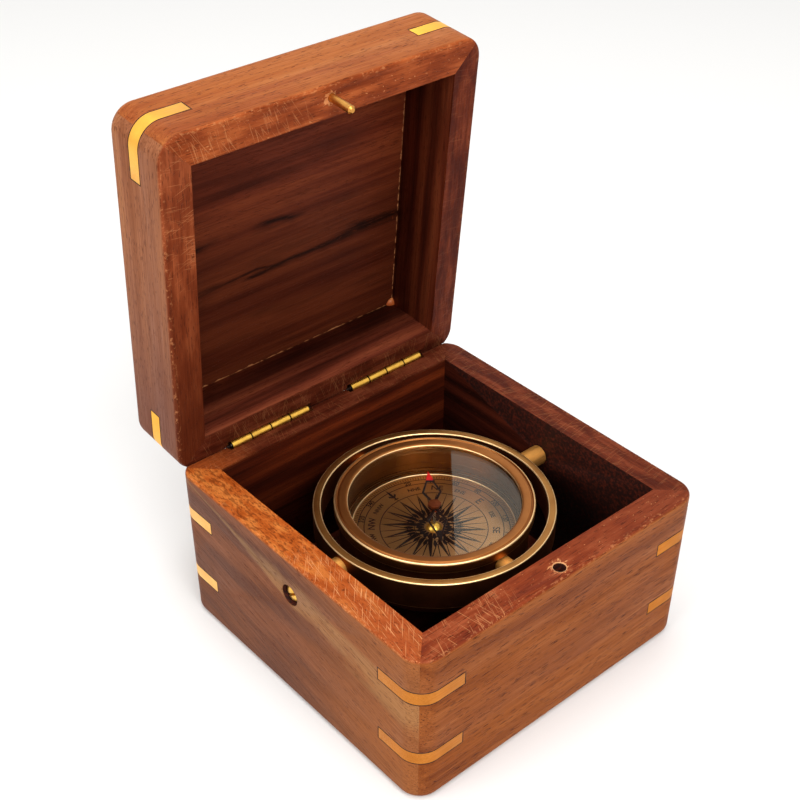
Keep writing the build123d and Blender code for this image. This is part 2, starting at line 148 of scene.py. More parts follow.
def set_inputs(tree: Tree, node: bpy.types.Node, inputs: Inputs) -> None:
    """Sets or links a node's inputs.

    Args:
        tree: The node's tree.
        node: The node.
        inputs: A value or an output socket for each input, in their order or by its name or number.
    """
    for name, value in inputs.items() if isinstance(inputs, dict) else enumerate(inputs):
        if isinstance(value, Socket):
            tree.links.new(value, node.inputs[name])
        else:
            node.inputs[name].default_value = value


def add_node(
    tree: Tree,
    kind: str,
    inputs: Inputs = (),
    stops: Sequence[tuple[float, str]] = (),
    output: int | str = 0,
    **settings: object,
) -> Socket:
    """Adds one node with its settings and links.

    Args:
        tree: The material's node tree.
        kind: The node's type.
        inputs: A value or an output socket for each input.
        stops: The places and hex colours of a colour ramp.
        output: The output to give back.
        settings: Properties of the node itself.

    Returns:
        The node's chosen output.
    """
    node = tree.nodes.new(kind)
    for name, value in settings.items():
        setattr(node, name, value)
    for number, (place, colour) in enumerate(stops):
        ramp = node.color_ramp.elements
        stop = ramp[number] if number < len(ramp) else ramp.new(place)
        stop.position = place
        stop.color = linear(colour)
    set_inputs(tree, node, inputs)
    return node.outputs[output]


def layered(add: Add, colour: Socket, layers: Iterable[tuple[Socket, str]]) -> Socket:
    """Lays colours over one another, each through its own mask."""
    for mask, over in layers:
        colour = add(MIX, {0: mask, 6: colour, 7: linear(over)}, **COLOUR)
    return colour


def distance(add: Add, value: Socket, centre: Socket | float) -> Socket:
    """Finds how far one value is from another."""
    return add(MATH, (add(MATH, (value, centre), **MINUS),), **SIZE)


@dataclass(frozen=True)
class Finish:
    """A surface finish that makes one Blender material on its first use."""

    name: str

    def material(self) -> bpy.types.Material:
        """Gives the finish's material, made once."""
        found = bpy.data.materials.get(self.name)
        if found:
            return found
        made = bpy.data.materials.new(self.name)
        made.use_nodes = True
        tree = made.node_tree
        set_inputs(tree, tree.nodes["Principled BSDF"], self.dress(partial(add_node, tree)))
        return made

    def dress(self, add: Add) -> Looks:
        """Adds the nodes and gives the shader's inputs. Each finish has its own."""
        raise NotImplementedError


@dataclass(frozen=True)
class Tones:
    """Three colours of one surface, from its darkest figure to its palest."""

    dark: str
    middle: str
    pale: str

    def stops(self, low: float, high: float) -> list[tuple[float, str]]:
        """Gives the ramp's stops for a figure that runs from low to high."""
        return [(low, self.dark), ((low + high) / 2, self.middle), (high, self.pale)]


@dataclass(frozen=True)
class FarEnd:
    """How a board's colour turns towards one end, in millimetres along its fibres."""

    start: float = 0.0
    end: float = 1.0
    face: str | None = None
    rim: str | None = None
    amount: float = 0.85


@dataclass(frozen=True)
class Noise:
    """A noise drawn out along a board's fibres, whose tops are its marks."""

    # Millimetres along and across the fibres.
    size: Pair
    # Sets the noise apart from the board's others.
    shift: float
    detail: float = 3.0
    swirl: float = 0.0
    # The values where its marks start and are full.
    tops: Pair = (0.0, 1.0)


# Real fibres, pores and scratches are finer. They are drawn coarser, so that they show.
STREAKS = Noise((70.0, 2.2), 3.1, 5.0, 0.3)
BROAD_TONE = Noise((95.0, 22.0), 9.7, 2.0, 0.8)
HEARTWOOD = Noise((60.0, 5.0), 17.0, 4.0, 0.4, (0.54, 0.72))
FIBRES = Noise((14.0, 0.36), 23.0)
PORES = Noise((2.6, 0.32), 31.0, 1.0, tops=(0.63, 0.68))
PITS = Noise((1.4, 0.6), 37.0, 1.0, tops=(0.53, 0.62))
SCRATCHES = Noise((6.0, 0.22), 41.0, 0.0, tops=(0.67, 0.75))
SCRATCH_PATCHES = Noise((6.0, 6.0), 47.0, 1.0)
SAPWOOD_DRIFT = Noise((40.0, 9.0), 53.0, 4.0, 0.6)
RIM_FIGURE = Noise((12.0, 3.0), 61.0, 4.0)
CHIPS = Noise((1.1, 0.7), 71.0, 2.0, tops=(0.55, 0.68))
SPLINTERS = Noise((0.9, 0.5), 83.0, 2.0, 0.6, (0.58, 0.66))
GLUE_SMEARS = Noise((2.4, 1.8), 91.0, tops=(0.55, 0.62))
STREAK_DRIFT = Noise((26.0, 5.0), 97.0, 3.0, 0.4)


@dataclass(frozen=True)
class Spot:
    """What a board's pattern knows of the point that is shaded, in millimetres of the closed box."""

    add: Add
    place: Socket
    axes: Sequence[Socket]
    along: Socket
    across: Socket
    # How far out from the box's middle.
    out: Socket
    # The mask of the sanded rim.
    rim: Socket


@dataclass(frozen=True)
class Rosewood(Finish):
    """Indian rosewood, planed on its faces, hand sanded on its rims and wiped with a thin satin varnish.

    Planing shows soft streaks, growth flames and short dark pores. Sanding leaves pale crossed scratches,
    open pits and chipped edges on the rims. The insides are darker.
    """

    part: Part
    grain: Grain
    seed: float
    face: Tones
    rim: Tones
    inside: Tones
    far_end: FarEnd = FarEnd()
    slant_deg: float = 0.0
    figure_span: Pair = (0.36, 0.62)
    fibre_stops: Sequence[tuple[float, str]] = ((0.3, "#C4B2A2"), (0.65, "#FFFFFF"))
    fibre_share: float = 0.6
    rim_figure_span: Pair = (0.38, 0.62)
    streaks: Noise = STREAKS
    heart: str = "#1E0A06"
    heart_share: float = 0.3
    heart_marks: Noise = HEARTWOOD
    # Along and across the fibres. The second is a wave texture's own period.
    ring_turns: Pair = (0.05, 0.314)
    ring_centre: Triple = (20.0, 0.0, 12.0)
    ring_mm: float = 5.5
    ring_share: float = 0.12
    pores: float = 0.6
    pore_marks: Noise = PORES
    pits: float = 0.2
    pit_marks: Noise = PITS
    pitted: Pair = (-50.0, 50.0)
    hole_colour: str = "#4A1A08"
    hole_depth: float = 1.4
    scratches: float = 0.12
    scratched: Pair = (-50.0, 50.0)
    scratch_gather: float = 0.07
    scratch_lift: float = 0.02
    patch_span: Pair = (0.4, 0.6)
    scratch_turns: Pair = (82.0, 112.0)
    scratch_colour: str = "#DE9660"
    scratch_depth: float = 0.8
    stretch_blur: float = 5.0
    # Level, rise along the fibres and half width.
    sap: Triple | None = None
    sap_colour: str = "#B08658"
    sap_share: float = 0.5
    sap_taper: float = 0.982
    sap_drift: float = 4.0
    wear: float = 0.35
    worn_from: float = 48.3
    worn_to: float = 49.5
    torn_at: Pair | None = None
    torn_reach: Pair = (3.6, 1.6)
    torn_gather: Pair = (-0.1, 0.14)
    torn_share: float = 0.7
    inner_face: float = 41.4
    inside_blur: float = 0.15
    # Start, end and share of a painted shade that darkens the inside across the fibres.
    inside_shade: Triple | None = None
    # Start, end, level and half width of each.
    black_streaks: Sequence[Streak] = ()
    black_drift: float = 2.2
    black_share: float = 0.9
    glued: bool = False
    # How far out the seam of glue starts and is full, how it gathers there, and its share.
    seam_out: Pair = (40.3, 41.1)
    seam_gather: Pair = (-0.3, 0.12)
    seam_share: float = 0.85
    glue_colour: str = "#BC7C50"
    roughness: Pair = (0.55, 0.42)
    gloss: float = 0.06
    bump_mm: float = 0.07
    bump_share: float = 0.8

    def spot(self, add: Add) -> Spot:
        """Reads the shaded point's place, and finds the rim, whose edge a hand has blurred."""
        where, rotation, scale = closing_turn(self.part).decompose()
        place = add(MAPPING, (add(SEEN, output="Object"), where, rotation.to_euler(), scale))
        axes = list(add(SPLIT, (place,)).node.outputs)
        out = add(MATH, [add(MATH, (axis,), **SIZE) for axis in axes[:2]], **LARGER)
        rim = add(SPAN, (axes[2], *self.part.rim_span))
        return Spot(add, place, axes, axes[self.grain.value], axes[1 - self.grain.value], out, rim)

    def scale(self, along: float, across: float) -> Triple:
        """Orders two scales by the axes of the box."""
        return (along, across, across) if self.grain is Grain.ALONG_X else (across, along, across)

    def read(self, spot: Spot, noise: Noise, turn: float = 0.0) -> Socket:
        """Adds a noise that follows the fibres or, for scratches, one that is turned about the vertical.

        Args:
            spot: The point that is shaded.
            noise: The noise.
            turn: Degrees that it is turned by.

        Returns:
            The noise, from 0 to 1.
        """
        slant = 0.0 if turn else radians(self.slant_deg)
        turned = spot.add(MAPPING, {0: spot.place, 2: (slant, 0.0, radians(turn))})
        shift = noise.shift + turn
        moved = (self.seed + shift, shift * 2, self.seed)
        drawn = spot.add(MAPPING, {0: turned, 1: moved, 3: self.scale(1 / noise.size[0], 1 / noise.size[1])})
        inputs = {"Vector": drawn, "Scale": 1.0, "Detail": noise.detail, "Distortion": noise.swirl}
        return spot.add(NOISE, inputs)

    def marks(
        self, spot: Spot, noise: Noise, strength: float, more: Socket | float = 0.0, turn: float = 0.0
    ) -> Socket:
        """Keeps the tops of a noise.

        Args:
            spot: The point that is shaded.
            noise: The noise.
            strength: How strong the marks are.
            more: What is added to the noise, so that the marks gather in places.
            turn: Degrees that it is turned by.

        Returns:
            The marks' mask.
        """
        total = spot.add(MATH, (self.read(spot, noise, turn), more), **PLUS)
        return spot.add(SPAN, (total, *noise.tops, 0.0, strength))

    def drift(self, spot: Spot, noise: Noise, reach: float) -> Socket:
        """Adds a slow sideways drift in millimetres, so that a streak isn't straight."""
        return spot.add(SPAN, (self.read(spot, noise), *NOISE_SPAN, -reach, reach))

    def flames(self, spot: Spot) -> Socket:
        """Adds growth rings, cut so that they show as long flames."""
        scale = self.scale(*(turns / self.ring_mm for turns in self.ring_turns))
        centre = [-c * s for c, s in zip(self.ring_centre, scale)]
        drawn = spot.add(MAPPING, {0: spot.place, 1: centre, 3: scale})
        inputs = {"Vector": drawn, "Scale": 1.0, "Distortion": 4.0, "Detail": 3.0, "Detail Scale": 1.2}
        cut = {"wave_type": "RINGS", "rings_direction": "SPHERICAL", "wave_profile": "SIN"}
        return spot.add("ShaderNodeTexWave", inputs, output="Fac", **cut)

    def dress(self, add: Add) -> Looks:
        """Layers the streaks, flames, fibres, pores, pits and scratches.

        Args:
            add: Adds a node to the material.

        Returns:
            The shader's inputs.
        """
        spot = self.spot(add)
        board = add(MIX, {0: spot.rim, 6: self.board_colour(spot), 7: self.rim_colour(spot)}, **COLOUR)
        fibres = self.read(spot, FIBRES)
        shade = add(RAMP, (fibres,), stops=self.fibre_stops)
        board = add(MIX, {0: self.fibre_share, 6: board, 7: shade}, blend_type="MULTIPLY", **COLOUR)
        pits = self.on_rim(spot, self.marks(spot, self.pit_marks, self.pits), self.pitted)
        holes = add(MATH, (self.marks(spot, self.pore_marks, self.pores), pits), **LARGER)
        patches = self.read(spot, SCRATCH_PATCHES)
        patches = add(SPAN, (patches, *self.patch_span, -self.scratch_gather, self.scratch_lift))
        crossed = [self.marks(spot, SCRATCHES, self.scratches, patches, turn) for turn in self.scratch_turns]
        scratch = self.on_rim(spot, add(MATH, crossed, **LARGER), self.scratched)
        chips = self.chips(spot)
        if self.torn_at:
            chips = add(MATH, (chips, self.torn(spot)), **LARGER)
        pale = add(MATH, (scratch, chips), **LARGER)
        sunk = add(MATH, (holes, -self.hole_depth, fibres), **TIMES_PLUS)
        cut = add(MATH, (pale, -self.scratch_depth, sunk), **TIMES_PLUS)
        bump = {"Height": cut, "Distance": self.bump_mm * MM, "Strength": self.bump_share}
        return {
            PLAIN_INPUT: layered(add, board, ((holes, self.hole_colour), (pale, self.scratch_colour))),
            "Roughness": add(SPAN, (fibres, *NOISE_SPAN, *self.roughness)),
            GLOSS_INPUT: self.gloss,
            "Normal": add(BUMP, bump),
        }

    def board_colour(self, spot: Spot) -> Socket:
        """Colours the board's face and inside.

        Args:
            spot: The point that is shaded.

        Returns:
            The colour.
        """
        figure = self.figure(spot)
        face = spot.add(RAMP, (figure,), stops=self.face.stops(*self.figure_span))
        face = self.turned(spot, face, self.far_end.face)
        if self.sap:
            face = layered(spot.add, face, [(self.sapwood(spot), self.sap_colour)])
        inner = spot.add(RAMP, (figure,), stops=self.inside.stops(*self.figure_span))
        if self.inside_shade:
            start, end, share = self.inside_shade
            # The darkening is painted shade.
            deep = spot.add(SPAN, (spot.across, start, end, 0.0, share))
            inner = layered(spot.add, inner, [(deep, self.heart)])
        below = spot.add(SPAN, (spot.axes[2], *self.part.inside_span))
        within = spot.add(SPAN, (spot.out, self.inner_face, self.inner_face - self.inside_blur))
        darker_inside = spot.add(MATH, (below, within), **TIMES)
        body = spot.add(MIX, {0: darker_inside, 6: face, 7: inner}, **COLOUR)
        heart = self.marks(spot, self.heart_marks, self.heart_share)
        if self.black_streaks:
            heart = spot.add(MATH, (heart, self.streaked(spot)), **LARGER)
        layers = [(heart, self.heart)]
        if self.glued:
            near = spot.add(SPAN, (spot.out, *self.seam_out, *self.seam_gather))
            seam = self.marks(spot, GLUE_SMEARS, self.seam_share, near)
            layers.append((spot.add(MATH, (seam, below), **TIMES), self.glue_colour))
        return layered(spot.add, body, layers)

    def streaked(self, spot: Spot) -> Socket:
        """Finds the board's few long black streaks.

        Args:
            spot: The point that is shaded.

        Returns:
            The streaks' mask.
        """
        across = spot.add(MATH, (spot.across, self.drift(spot, STREAK_DRIFT, self.black_drift)), **PLUS)
        total: Socket | float = 0.0
        for start, end, level, half_width in self.black_streaks:
            off = distance(spot.add, across, level)
            off = spot.add(SPAN, (off, half_width * 1.5, half_width * 0.2))
            reach = distance(spot.add, spot.along, (start + end) / 2)
            reach = spot.add(SPAN, (reach, (end - start) / 2, (end - start) / 5, 0.0, self.black_share))
            mask = spot.add(MATH, (off, reach), **TIMES)
            total = spot.add(MATH, (total, mask), **LARGER)
        return total

    def rim_colour(self, spot: Spot) -> Socket:
        """Colours the sanded rim, whose figure is short and soft."""
        colour = spot.add(RAMP, (self.read(spot, RIM_FIGURE),), stops=self.rim.stops(*self.rim_figure_span))
        return self.turned(spot, colour, self.far_end.rim)

    def turned(self, spot: Spot, colour: Socket, far_colour: str | None) -> Socket:
        """Turns a colour to another, if there is one, towards the board's far end."""
        if not far_colour:
            return colour
        amount = spot.add(SPAN, (spot.along, self.far_end.start, self.far_end.end, 0.0, self.far_end.amount))
        return layered(spot.add, colour, [(amount, far_colour)])

    def chips(self, spot: Spot) -> Socket:
        """Finds the ragged pale chips along the rim's outer edge."""
        marks = self.marks(spot, CHIPS, self.wear)
        near = spot.add(SPAN, (spot.out, self.worn_from, self.worn_to))
        for mask in (near, spot.rim):
            marks = spot.add(MATH, (marks, mask), **TIMES)
        return marks

    def torn(self, spot: Spot) -> Socket:
        """Finds the pale splinters of torn wood round a hole in the rim."""
        ends = (spot.add(JOIN, spot.axes[:2]), (*self.torn_at, 0.0))
        off = spot.add(VECTOR_MATH, ends, output="Value", operation="DISTANCE")
        near = spot.add(SPAN, (off, *self.torn_reach, *self.torn_gather))
        return spot.add(MATH, (self.marks(spot, SPLINTERS, self.torn_share, near), spot.rim), **TIMES)

    def figure(self, spot: Spot) -> Socket:
        """Adds up the board's broad tone, its streaks and its flames."""
        plain = (1 - self.ring_share) / 2
        layers = (
            (self.read(spot, BROAD_TONE), plain),
            (self.read(spot, self.streaks), plain),
            (self.flames(spot), self.ring_share),
        )
        total: Socket | float = 0.0
        for layer, share in layers:
            total = spot.add(MATH, (layer, share, total), **TIMES_PLUS)
        return total

    def sapwood(self, spot: Spot) -> Socket:
        """Finds a pale streak of sapwood that widens along the board.

        Args:
            spot: The point that is shaded.

        Returns:
            The streak's mask.
        """
        level, rise, half_width = self.sap
        line = spot.add(MATH, (spot.along, rise, level), **TIMES_PLUS)
        height = spot.add(MATH, (spot.axes[2], self.drift(spot, SAPWOOD_DRIFT, self.sap_drift)), **PLUS)
        width = spot.add(MATH, (self.sap_taper, spot.along), operation="POWER")
        width = spot.add(MATH, (width, half_width), **TIMES)
        reach = spot.add(MATH, (distance(spot.add, height, line), width), operation="DIVIDE")
        return spot.add(SPAN, (reach, 1.6, 0.2, 0.0, self.sap_share))

    def on_rim(self, spot: Spot, marks: Socket, stretch: Pair) -> Socket:
        """Keeps the marks that lie on one stretch of the rim, in millimetres along the fibres."""
        first = spot.add(SPAN, (spot.along, stretch[0] - self.stretch_blur, stretch[0] + self.stretch_blur))
        last = spot.add(SPAN, (spot.along, stretch[1] + self.stretch_blur, stretch[1] - self.stretch_blur))
        for mask in (first, last, spot.rim):
            marks = spot.add(MATH, (marks, mask), **TIMES)
        return marks


@dataclass(frozen=True)
class Metal(Finish):
    """Metal, with its own polish marks.

    The marks are drawn out along one axis, or round the upright axis where the metal was turned on a lathe.
    """

    colour: str
    tarnish: str
    roughness: float = 0.3
    tarnish_share: float = 0.5
    spot_mm: float = 6.0
    # Real polish marks are finer. These are drawn coarser, so that they show.
    mark_mm: Triple = (9.0, 0.25, 0.25)
    mark_depth: float = 0.3
    bump_mm: float = 0.02
    spot_span: Pair = (0.35, 0.7)
    rough_shares: Pair = (0.8, 1.25)
    turned: bool = False

    def dress(self, add: Add) -> Looks:
        """Mixes the clean and the tarnished colour and adds the polish marks.

        Args:
            add: Adds a node to the material.

        Returns:
            The shader's inputs.
        """
        seen = add(SEEN, output="Object")
        spots = add(NOISE, {"Vector": seen, "Scale": 1 / (self.spot_mm * MM), "Detail": 4.0})
        amount = add(SPAN, (spots, *self.spot_span, 0.0, self.tarnish_share))
        marks = self.marks(add, seen)
        rough = [self.roughness * share for share in self.rough_shares]
        bump = {"Height": marks, "Distance": self.bump_mm * MM, "Strength": self.mark_depth}
        return {
            PLAIN_INPUT: add(MIX, {0: amount, 6: linear(self.colour), 7: linear(self.tarnish)}, **COLOUR),
            "Metallic": 1.0,
            "Roughness": add(SPAN, (marks, *NOISE_SPAN, *rough)),
            "Normal": add(BUMP, bump),
        }

    def marks(self, add: Add, seen: Socket) -> Socket:
        """Adds the polish marks, from 0 to 1, on the Object coordinates."""
        place = seen
        if self.turned:
            axes = add(SPLIT, (seen,)).node.outputs
            reach = add(VECTOR_MATH, (add(JOIN, axes[:2]),), output="Value", operation="LENGTH")
            place = add(JOIN, {1: reach, 2: axes[2]})
        drawn = add(MAPPING, {0: place, 3: [1 / (size * MM) for size in self.mark_mm]})
        return add(NOISE, {"Vector": drawn, "Scale": 1.0, "Detail": 2.0})


@dataclass(frozen=True)
class KnuckleBrass(Metal):
    """Brass of a hinge's barrel, with painted shade in the gaps between its knuckles."""

    first_gap: float = 0.0
    pitch: float = 6.75
    half_gap: float = 0.3
    gap_shade_colour: str = "#1A0E04"
    gap_share: float = 0.95

    def dress(self, add: Add) -> Looks:
        """Paints shade into the gaps between the knuckles."""
        looks = super().dress(add)
        axes = add(SPLIT, (add(SEEN, output="Object"),)).node.outputs
        place = add(MATH, (axes[0], 1 / MM, -self.first_gap), **TIMES_PLUS)
        off = add(MATH, (place, self.pitch / 2), operation="PINGPONG")
        # The dark line at each gap is painted shade.
        dark = add(SPAN, (off, self.half_gap, self.half_gap / 2, 0.0, self.gap_share))
        return {**looks, PLAIN_INPUT: layered(add, looks[PLAIN_INPUT], [(dark, self.gap_shade_colour)])}


@dataclass(frozen=True)
class Paint(Finish):
    """Ink, paint, glue or varnish, with a slight unevenness where it lies thin."""

    colour: str
    thin: str
    roughness: float = 0.5
    patch_mm: float = 0.8
    thin_span: Pair = (0.45, 0.75)
    gloss: float = 0.2

    def dress(self, add: Add) -> Looks:
        """Mixes the full and the thin colour in small patches."""
        seen = add(SEEN, output="Object")
        patches = add(NOISE, {"Vector": seen, "Scale": 1 / (self.patch_mm * MM), "Detail": 3.0})
        stops = list(zip(self.thin_span, (self.colour, self.thin)))
        colour = add(RAMP, (patches,), stops=stops)
        return {PLAIN_INPUT: colour, "Roughness": self.roughness, GLOSS_INPUT: self.gloss}


@dataclass(frozen=True)
class Uniform(Finish):
    """A finish that is the same all over."""

    looks: Looks

    def dress(self, add: Add) -> Looks:
        """Gives the shader's inputs, which need no nodes."""
        return self.looks


# Rolled sheet, freshly polished: bright yellow, with a soft sheen along each strip.
LID_BRASS = Metal("bright_rolled_brass", "#FABC4C", "#EAA03C", roughness=0.45, mark_mm=(6.0, 0.3, 0.3))
# The same sheet dulled by handling: orange, with a wide, weak sheen.
FRONT_BRASS = Metal("dulled_rolled_brass", "#C88134", "#A86422", roughness=0.6, mark_mm=(6.0, 0.3, 0.3))
# The same sheet where no hand rubs it: pale and milky.
BACK_BRASS = Metal("pale_rolled_brass", "#F4C478", "#D69A4E", roughness=0.5, mark_mm=(6.0, 0.3, 0.3))
# Drawn wire and bar: bright, with small brown spots.
HINGE_BRASS = Metal("bright_drawn_brass", "#F2BE52", "#8E5A1C", roughness=0.3, spot_mm=1.6)
# A turned peg, rubbed at each closing: gold, with faint brown clouds.
PEG_BRASS = Metal("worn_peg_brass", "#D49A4C", "#9C622E", roughness=0.34, spot_mm=2.4)
# Rolled and drawn hinge barrels: bright, with a dark line of painted shade at each knuckle.
LEFT_KNUCKLES = KnuckleBrass(
    "left_hinge_brass", "#F2BE52", "#B07828", roughness=0.32, spot_mm=1.6, first_gap=-33.1
)
RIGHT_KNUCKLES = replace(LEFT_KNUCKLES, name="right_hinge_brass", first_gap=9.6)
# Turned, then browned by acid: bronze, with fine circles in its sheen.
RING_BRASS = Metal(
    "antiqued_turned_brass", "#A8763E", "#825026", roughness=0.38, turned=True, mark_mm=(30.0, 0.16, 0.16)
)
# Turned and lacquered: warm copper, with a clear ring of light.
BEZEL_BRASS = Metal(
    "lacquered_turned_brass", "#AA6C38", "#8C5226", roughness=0.34, turned=True, mark_mm=(30.0, 0.2, 0.2)
)
# Browning rubbed off the corners, with a painted highlight: a thin pale line along each turned edge.
POLISHED_EDGE_HIGHLIGHT = Metal("polished_brass_edge_highlight", "#F4D098", "#E0AC70", roughness=0.4, tarnish_share=0.3)
# Sawn tube, left rough: dull gold with hardly any sheen.
SLEEVE_BRASS = Metal("sawn_brass", "#D89C50", "#A8743A", roughness=0.6)
# Turned, browned and shaded from light: dark olive brown, with coarse tool circles.
BOWL_BRASS = Metal(
    "turned_bowl_brass", "#775330", "#50341C", roughness=0.33, turned=True, mark_mm=(30.0, 0.35, 0.35)
)
# Turned sides that were never rubbed: red brown patina, darkened further as painted shade, with a dull sheen.
PATINA_AND_SHADE_BRASS = replace(
    BOWL_BRASS, name="patinated_and_shaded_turned_brass", colour="#90522E", tarnish="#583018", roughness=0.4,
    mark_mm=(30.0, 0.3, 0.3),
)
# Etched plate: an even, grainy gold that the print stands out on.
DIAL_BRASS = Metal(
    "etched_dial_brass", "#C08C58", "#9C6A3C", roughness=0.36, spot_mm=9.0, mark_mm=(0.5, 0.5, 0.5),
    mark_depth=0.1,
)
# Ground rod: grey, with a sharp highlight along it.
STEEL = Metal("ground_steel", "#B9B6B0", "#8C8880", roughness=0.25)
# Lead as cast: dull blue grey.
LEAD = Metal("cast_lead", "#5C5C60", "#3C3C40", roughness=0.6)
# Copper heated to brown: a small red glint in the dial's middle.
COPPER_BROWN = Metal("browned_copper", "#A0522E", "#6A2C18", roughness=0.35, spot_mm=1.2)
# Pad-printed ink, baked on: black, worn brown where it is thin.
BLACK_INK = Paint("baked_black_ink", "#080605", "#1E1812", roughness=0.45)
# Sprayed paint: an even black with a soft gloss.
NEEDLE_BLACK = Paint("needle_black_paint", "#080808", "#1C1C1C", roughness=0.4)
# Brushed enamel: bright red, slightly paler where it ran thin.
NEEDLE_RED = Paint("needle_red_paint", "#E0181C", "#F03C34", roughness=0.35)
# Hide glue squeezed out and dried: a dark broken line round each strip.
GLUE = Paint("dried_hide_glue", "#2A1209", "#6A3A1C", roughness=0.55, patch_mm=1.6)
# A drop of hide glue set hard: amber, with a small highlight.
GLUE_DROP = Paint("amber_glue_drop", "#A85024", "#C87840", roughness=0.35, patch_mm=1.5)
# End grain in a drilled hole, unvarnished: red brown and matt, and dark as painted shade.
BORED_GRAIN_AND_SHADE = Paint("bored_end_grain_and_shade", "#260B05", "#5A2010", roughness=0.7)
# Painted shade in the joint: a nearly black fill where no light reaches.
JOINT_SHADE_FILL = Paint("painted_joint_shade", "#1C0B06", "#4A2414", roughness=0.5, patch_mm=3.0)
# Window glass, ground flat: clear, with a faint warm reflection.
CLEAR_GLASS = Uniform(
    "clear_glass",
    {
        PLAIN_INPUT: linear("#FCFEFD"),
        "Transmission Weight": 1.0,
        "Specular Tint": linear("#E4CCAC"),
        "IOR": 1.5,
        "Roughness": 0.0,
    },
)
# Matt paper: an even pale ground with a soft shadow.
PALE_FLOOR = Uniform("pale_floor", {PLAIN_INPUT: linear("#F4F3F1"), "Roughness": 0.9, GLOSS_INPUT: 0.0})


def dress(node: str, finish: Finish) -> None:
    """Gives a node of the frame its finish."""
    materials = frame["nodes"][node].data.materials
    materials.clear()
    materials.append(finish.material())
    LOG.info("%s has %s", node, finish.name)


def publish(
    piece: Object, finishes: Sequence[Finish], body: str, replaced: Iterable[str] = ()
) -> None:
    """Gives a new piece its finishes and ties it to the frame.

    Args:
        piece: The new piece.
        finishes: Its finishes, in the order of its faces' material numbers.
        body: The body that it moves with.
        replaced: The nodes that it stands for.
    """
    for finish in finishes:
        piece.data.materials.append(finish.material())
    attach(piece, body)
    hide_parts(*replaced)
    LOG.info("%s rides on %s", piece.name, body)


def to_piece(name: str, shape: Shape, sharp_deg: float = 35.0) -> Object:
    """Turns a finished bmesh to an object at the origin, with soft shading between its sharp edges.

    Args:
        name: The piece's name.
        shape: Its shape, in metres. It is freed.
        sharp_deg: The angle past which an edge stays sharp.

    Returns:
        The new object.
    """
    mesh = bpy.data.meshes.new(name)
    shape.to_mesh(mesh)
    shape.free()
    mesh.shade_smooth()
    mesh.set_sharp_from_angle(angle=radians(sharp_deg))
    piece = bpy.data.objects.new(name, mesh)
    bpy.context.scene.collection.objects.link(piece)
    return piece


def ease_edges(
    shape: Shape,
    width_mm: float,
    least_deg: float = 30.0,
    chosen: Callable[[bmesh.types.BMEdge], bool] = lambda edge: True,
    segments: int = 2,
) -> list[bmesh.types.BMFace]:
    """Rounds a shape's sharp edges.

    Args:
        shape: The shape to change.
        width_mm: How far from the edge the rounding starts.
        least_deg: The smallest angle that counts as sharp.
        chosen: Picks the edges to round.
        segments: How many faces the rounding has.

    Returns:
        The rounding's new faces.
    """
    edges = [
        edge
        for edge in shape.edges
        if len(edge.link_faces) == 2 and edge.calc_face_angle(0.0) > radians(least_deg) and chosen(edge)
    ]
    size = {"offset": width_mm * MM, "offset_type": "OFFSET", "segments": segments, "profile": 0.5}
    made = bmesh.ops.bevel(shape, geom=edges, affect="EDGES", clamp_overlap=False, material=-1, **size)
    return made["faces"]


def copied_shape(node: str) -> Shape:
    """Copies a node's mesh, joins its loose triangles and makes its flat faces whole."""
    shape = bmesh.new()
    shape.from_mesh(frame["nodes"][node].data)
    bmesh.ops.remove_doubles(shape, verts=shape.verts, dist=0.002 * MM)
    bmesh.ops.dissolve_limit(
        shape, angle_limit=radians(0.5), use_dissolve_boundaries=False, verts=shape.verts, edges=shape.edges
    )
    return shape


def add_turned(shape: Shape, outline: Sequence[Pair], steps: int) -> None:
    """Turns a closed outline, as radii and heights in millimetres, round the upright axis."""
    dots = [shape.verts.new((radius * MM, 0.0, height * MM)) for radius, height in outline]
    edges = [shape.edges.new((dots[i - 1], dots[i])) for i in range(len(dots))]
    round_axis = {"axis": (0, 0, 1), "cent": (0, 0, 0), "angle": tau, "steps": steps}
    bmesh.ops.spin(shape, geom=dots + edges, use_merge=True, use_duplicate=False, **round_axis)


def turned_shape(outline: Sequence[Pair], ease_mm: float = 0.0, steps: int = 192) -> Shape:
    """Makes a turned solid.

    Args:
        outline: The closed outline's points, as radius and height in millimetres.
        ease_mm: How far the sharp edges are rounded. Their faces take the second material.
        steps: How many steps the turn has.

    Returns:
        The solid, with its axis upright through the origin.
    """
    shape = bmesh.new()
    add_turned(shape, outline, steps)
    bmesh.ops.remove_doubles(shape, verts=shape.verts, dist=MERGE_MM * MM)
    bmesh.ops.recalc_face_normals(shape, faces=shape.faces)
    if ease_mm:
        for face in ease_edges(shape, ease_mm, segments=3):
            face.material_index = 1
    shape.normal_update()
    return shape


def turned_size(node: str) -> Triple:
    """Gives a turned node's outer radius, its foot and its top, in millimetres."""
    low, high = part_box(node)
    return high.x / MM, low.z / MM, high.z / MM


def arc(centre: Pair, radius: float, start: float, end: float, count: int) -> list[Pair]:
    """Gives the points of an arc between two angles in degrees, in equal steps with both ends included."""
    angles = [radians(start + (end - start) * i / count) for i in range(count + 1)]
    return [(centre[0] + radius * cos(a), centre[1] + radius * sin(a)) for a in angles]


@dataclass
class Bore:
    """A hole bored in a board of the closed box, in millimetres."""

    axis: int
    centre: Triple
    radius: float
    depth: float = 10.0
    slack: float = 0.1
    lip: float = 0.3

    def holds(self, point: Vector) -> bool:
        """Tells whether a point of the closed box lies on the hole's wall or floor."""
        off = point - Vector(self.centre)
        deep = abs(off[self.axis])
        off[self.axis] = 0.0
        return off.length < self.radius + self.slack and self.lip < deep < self.depth


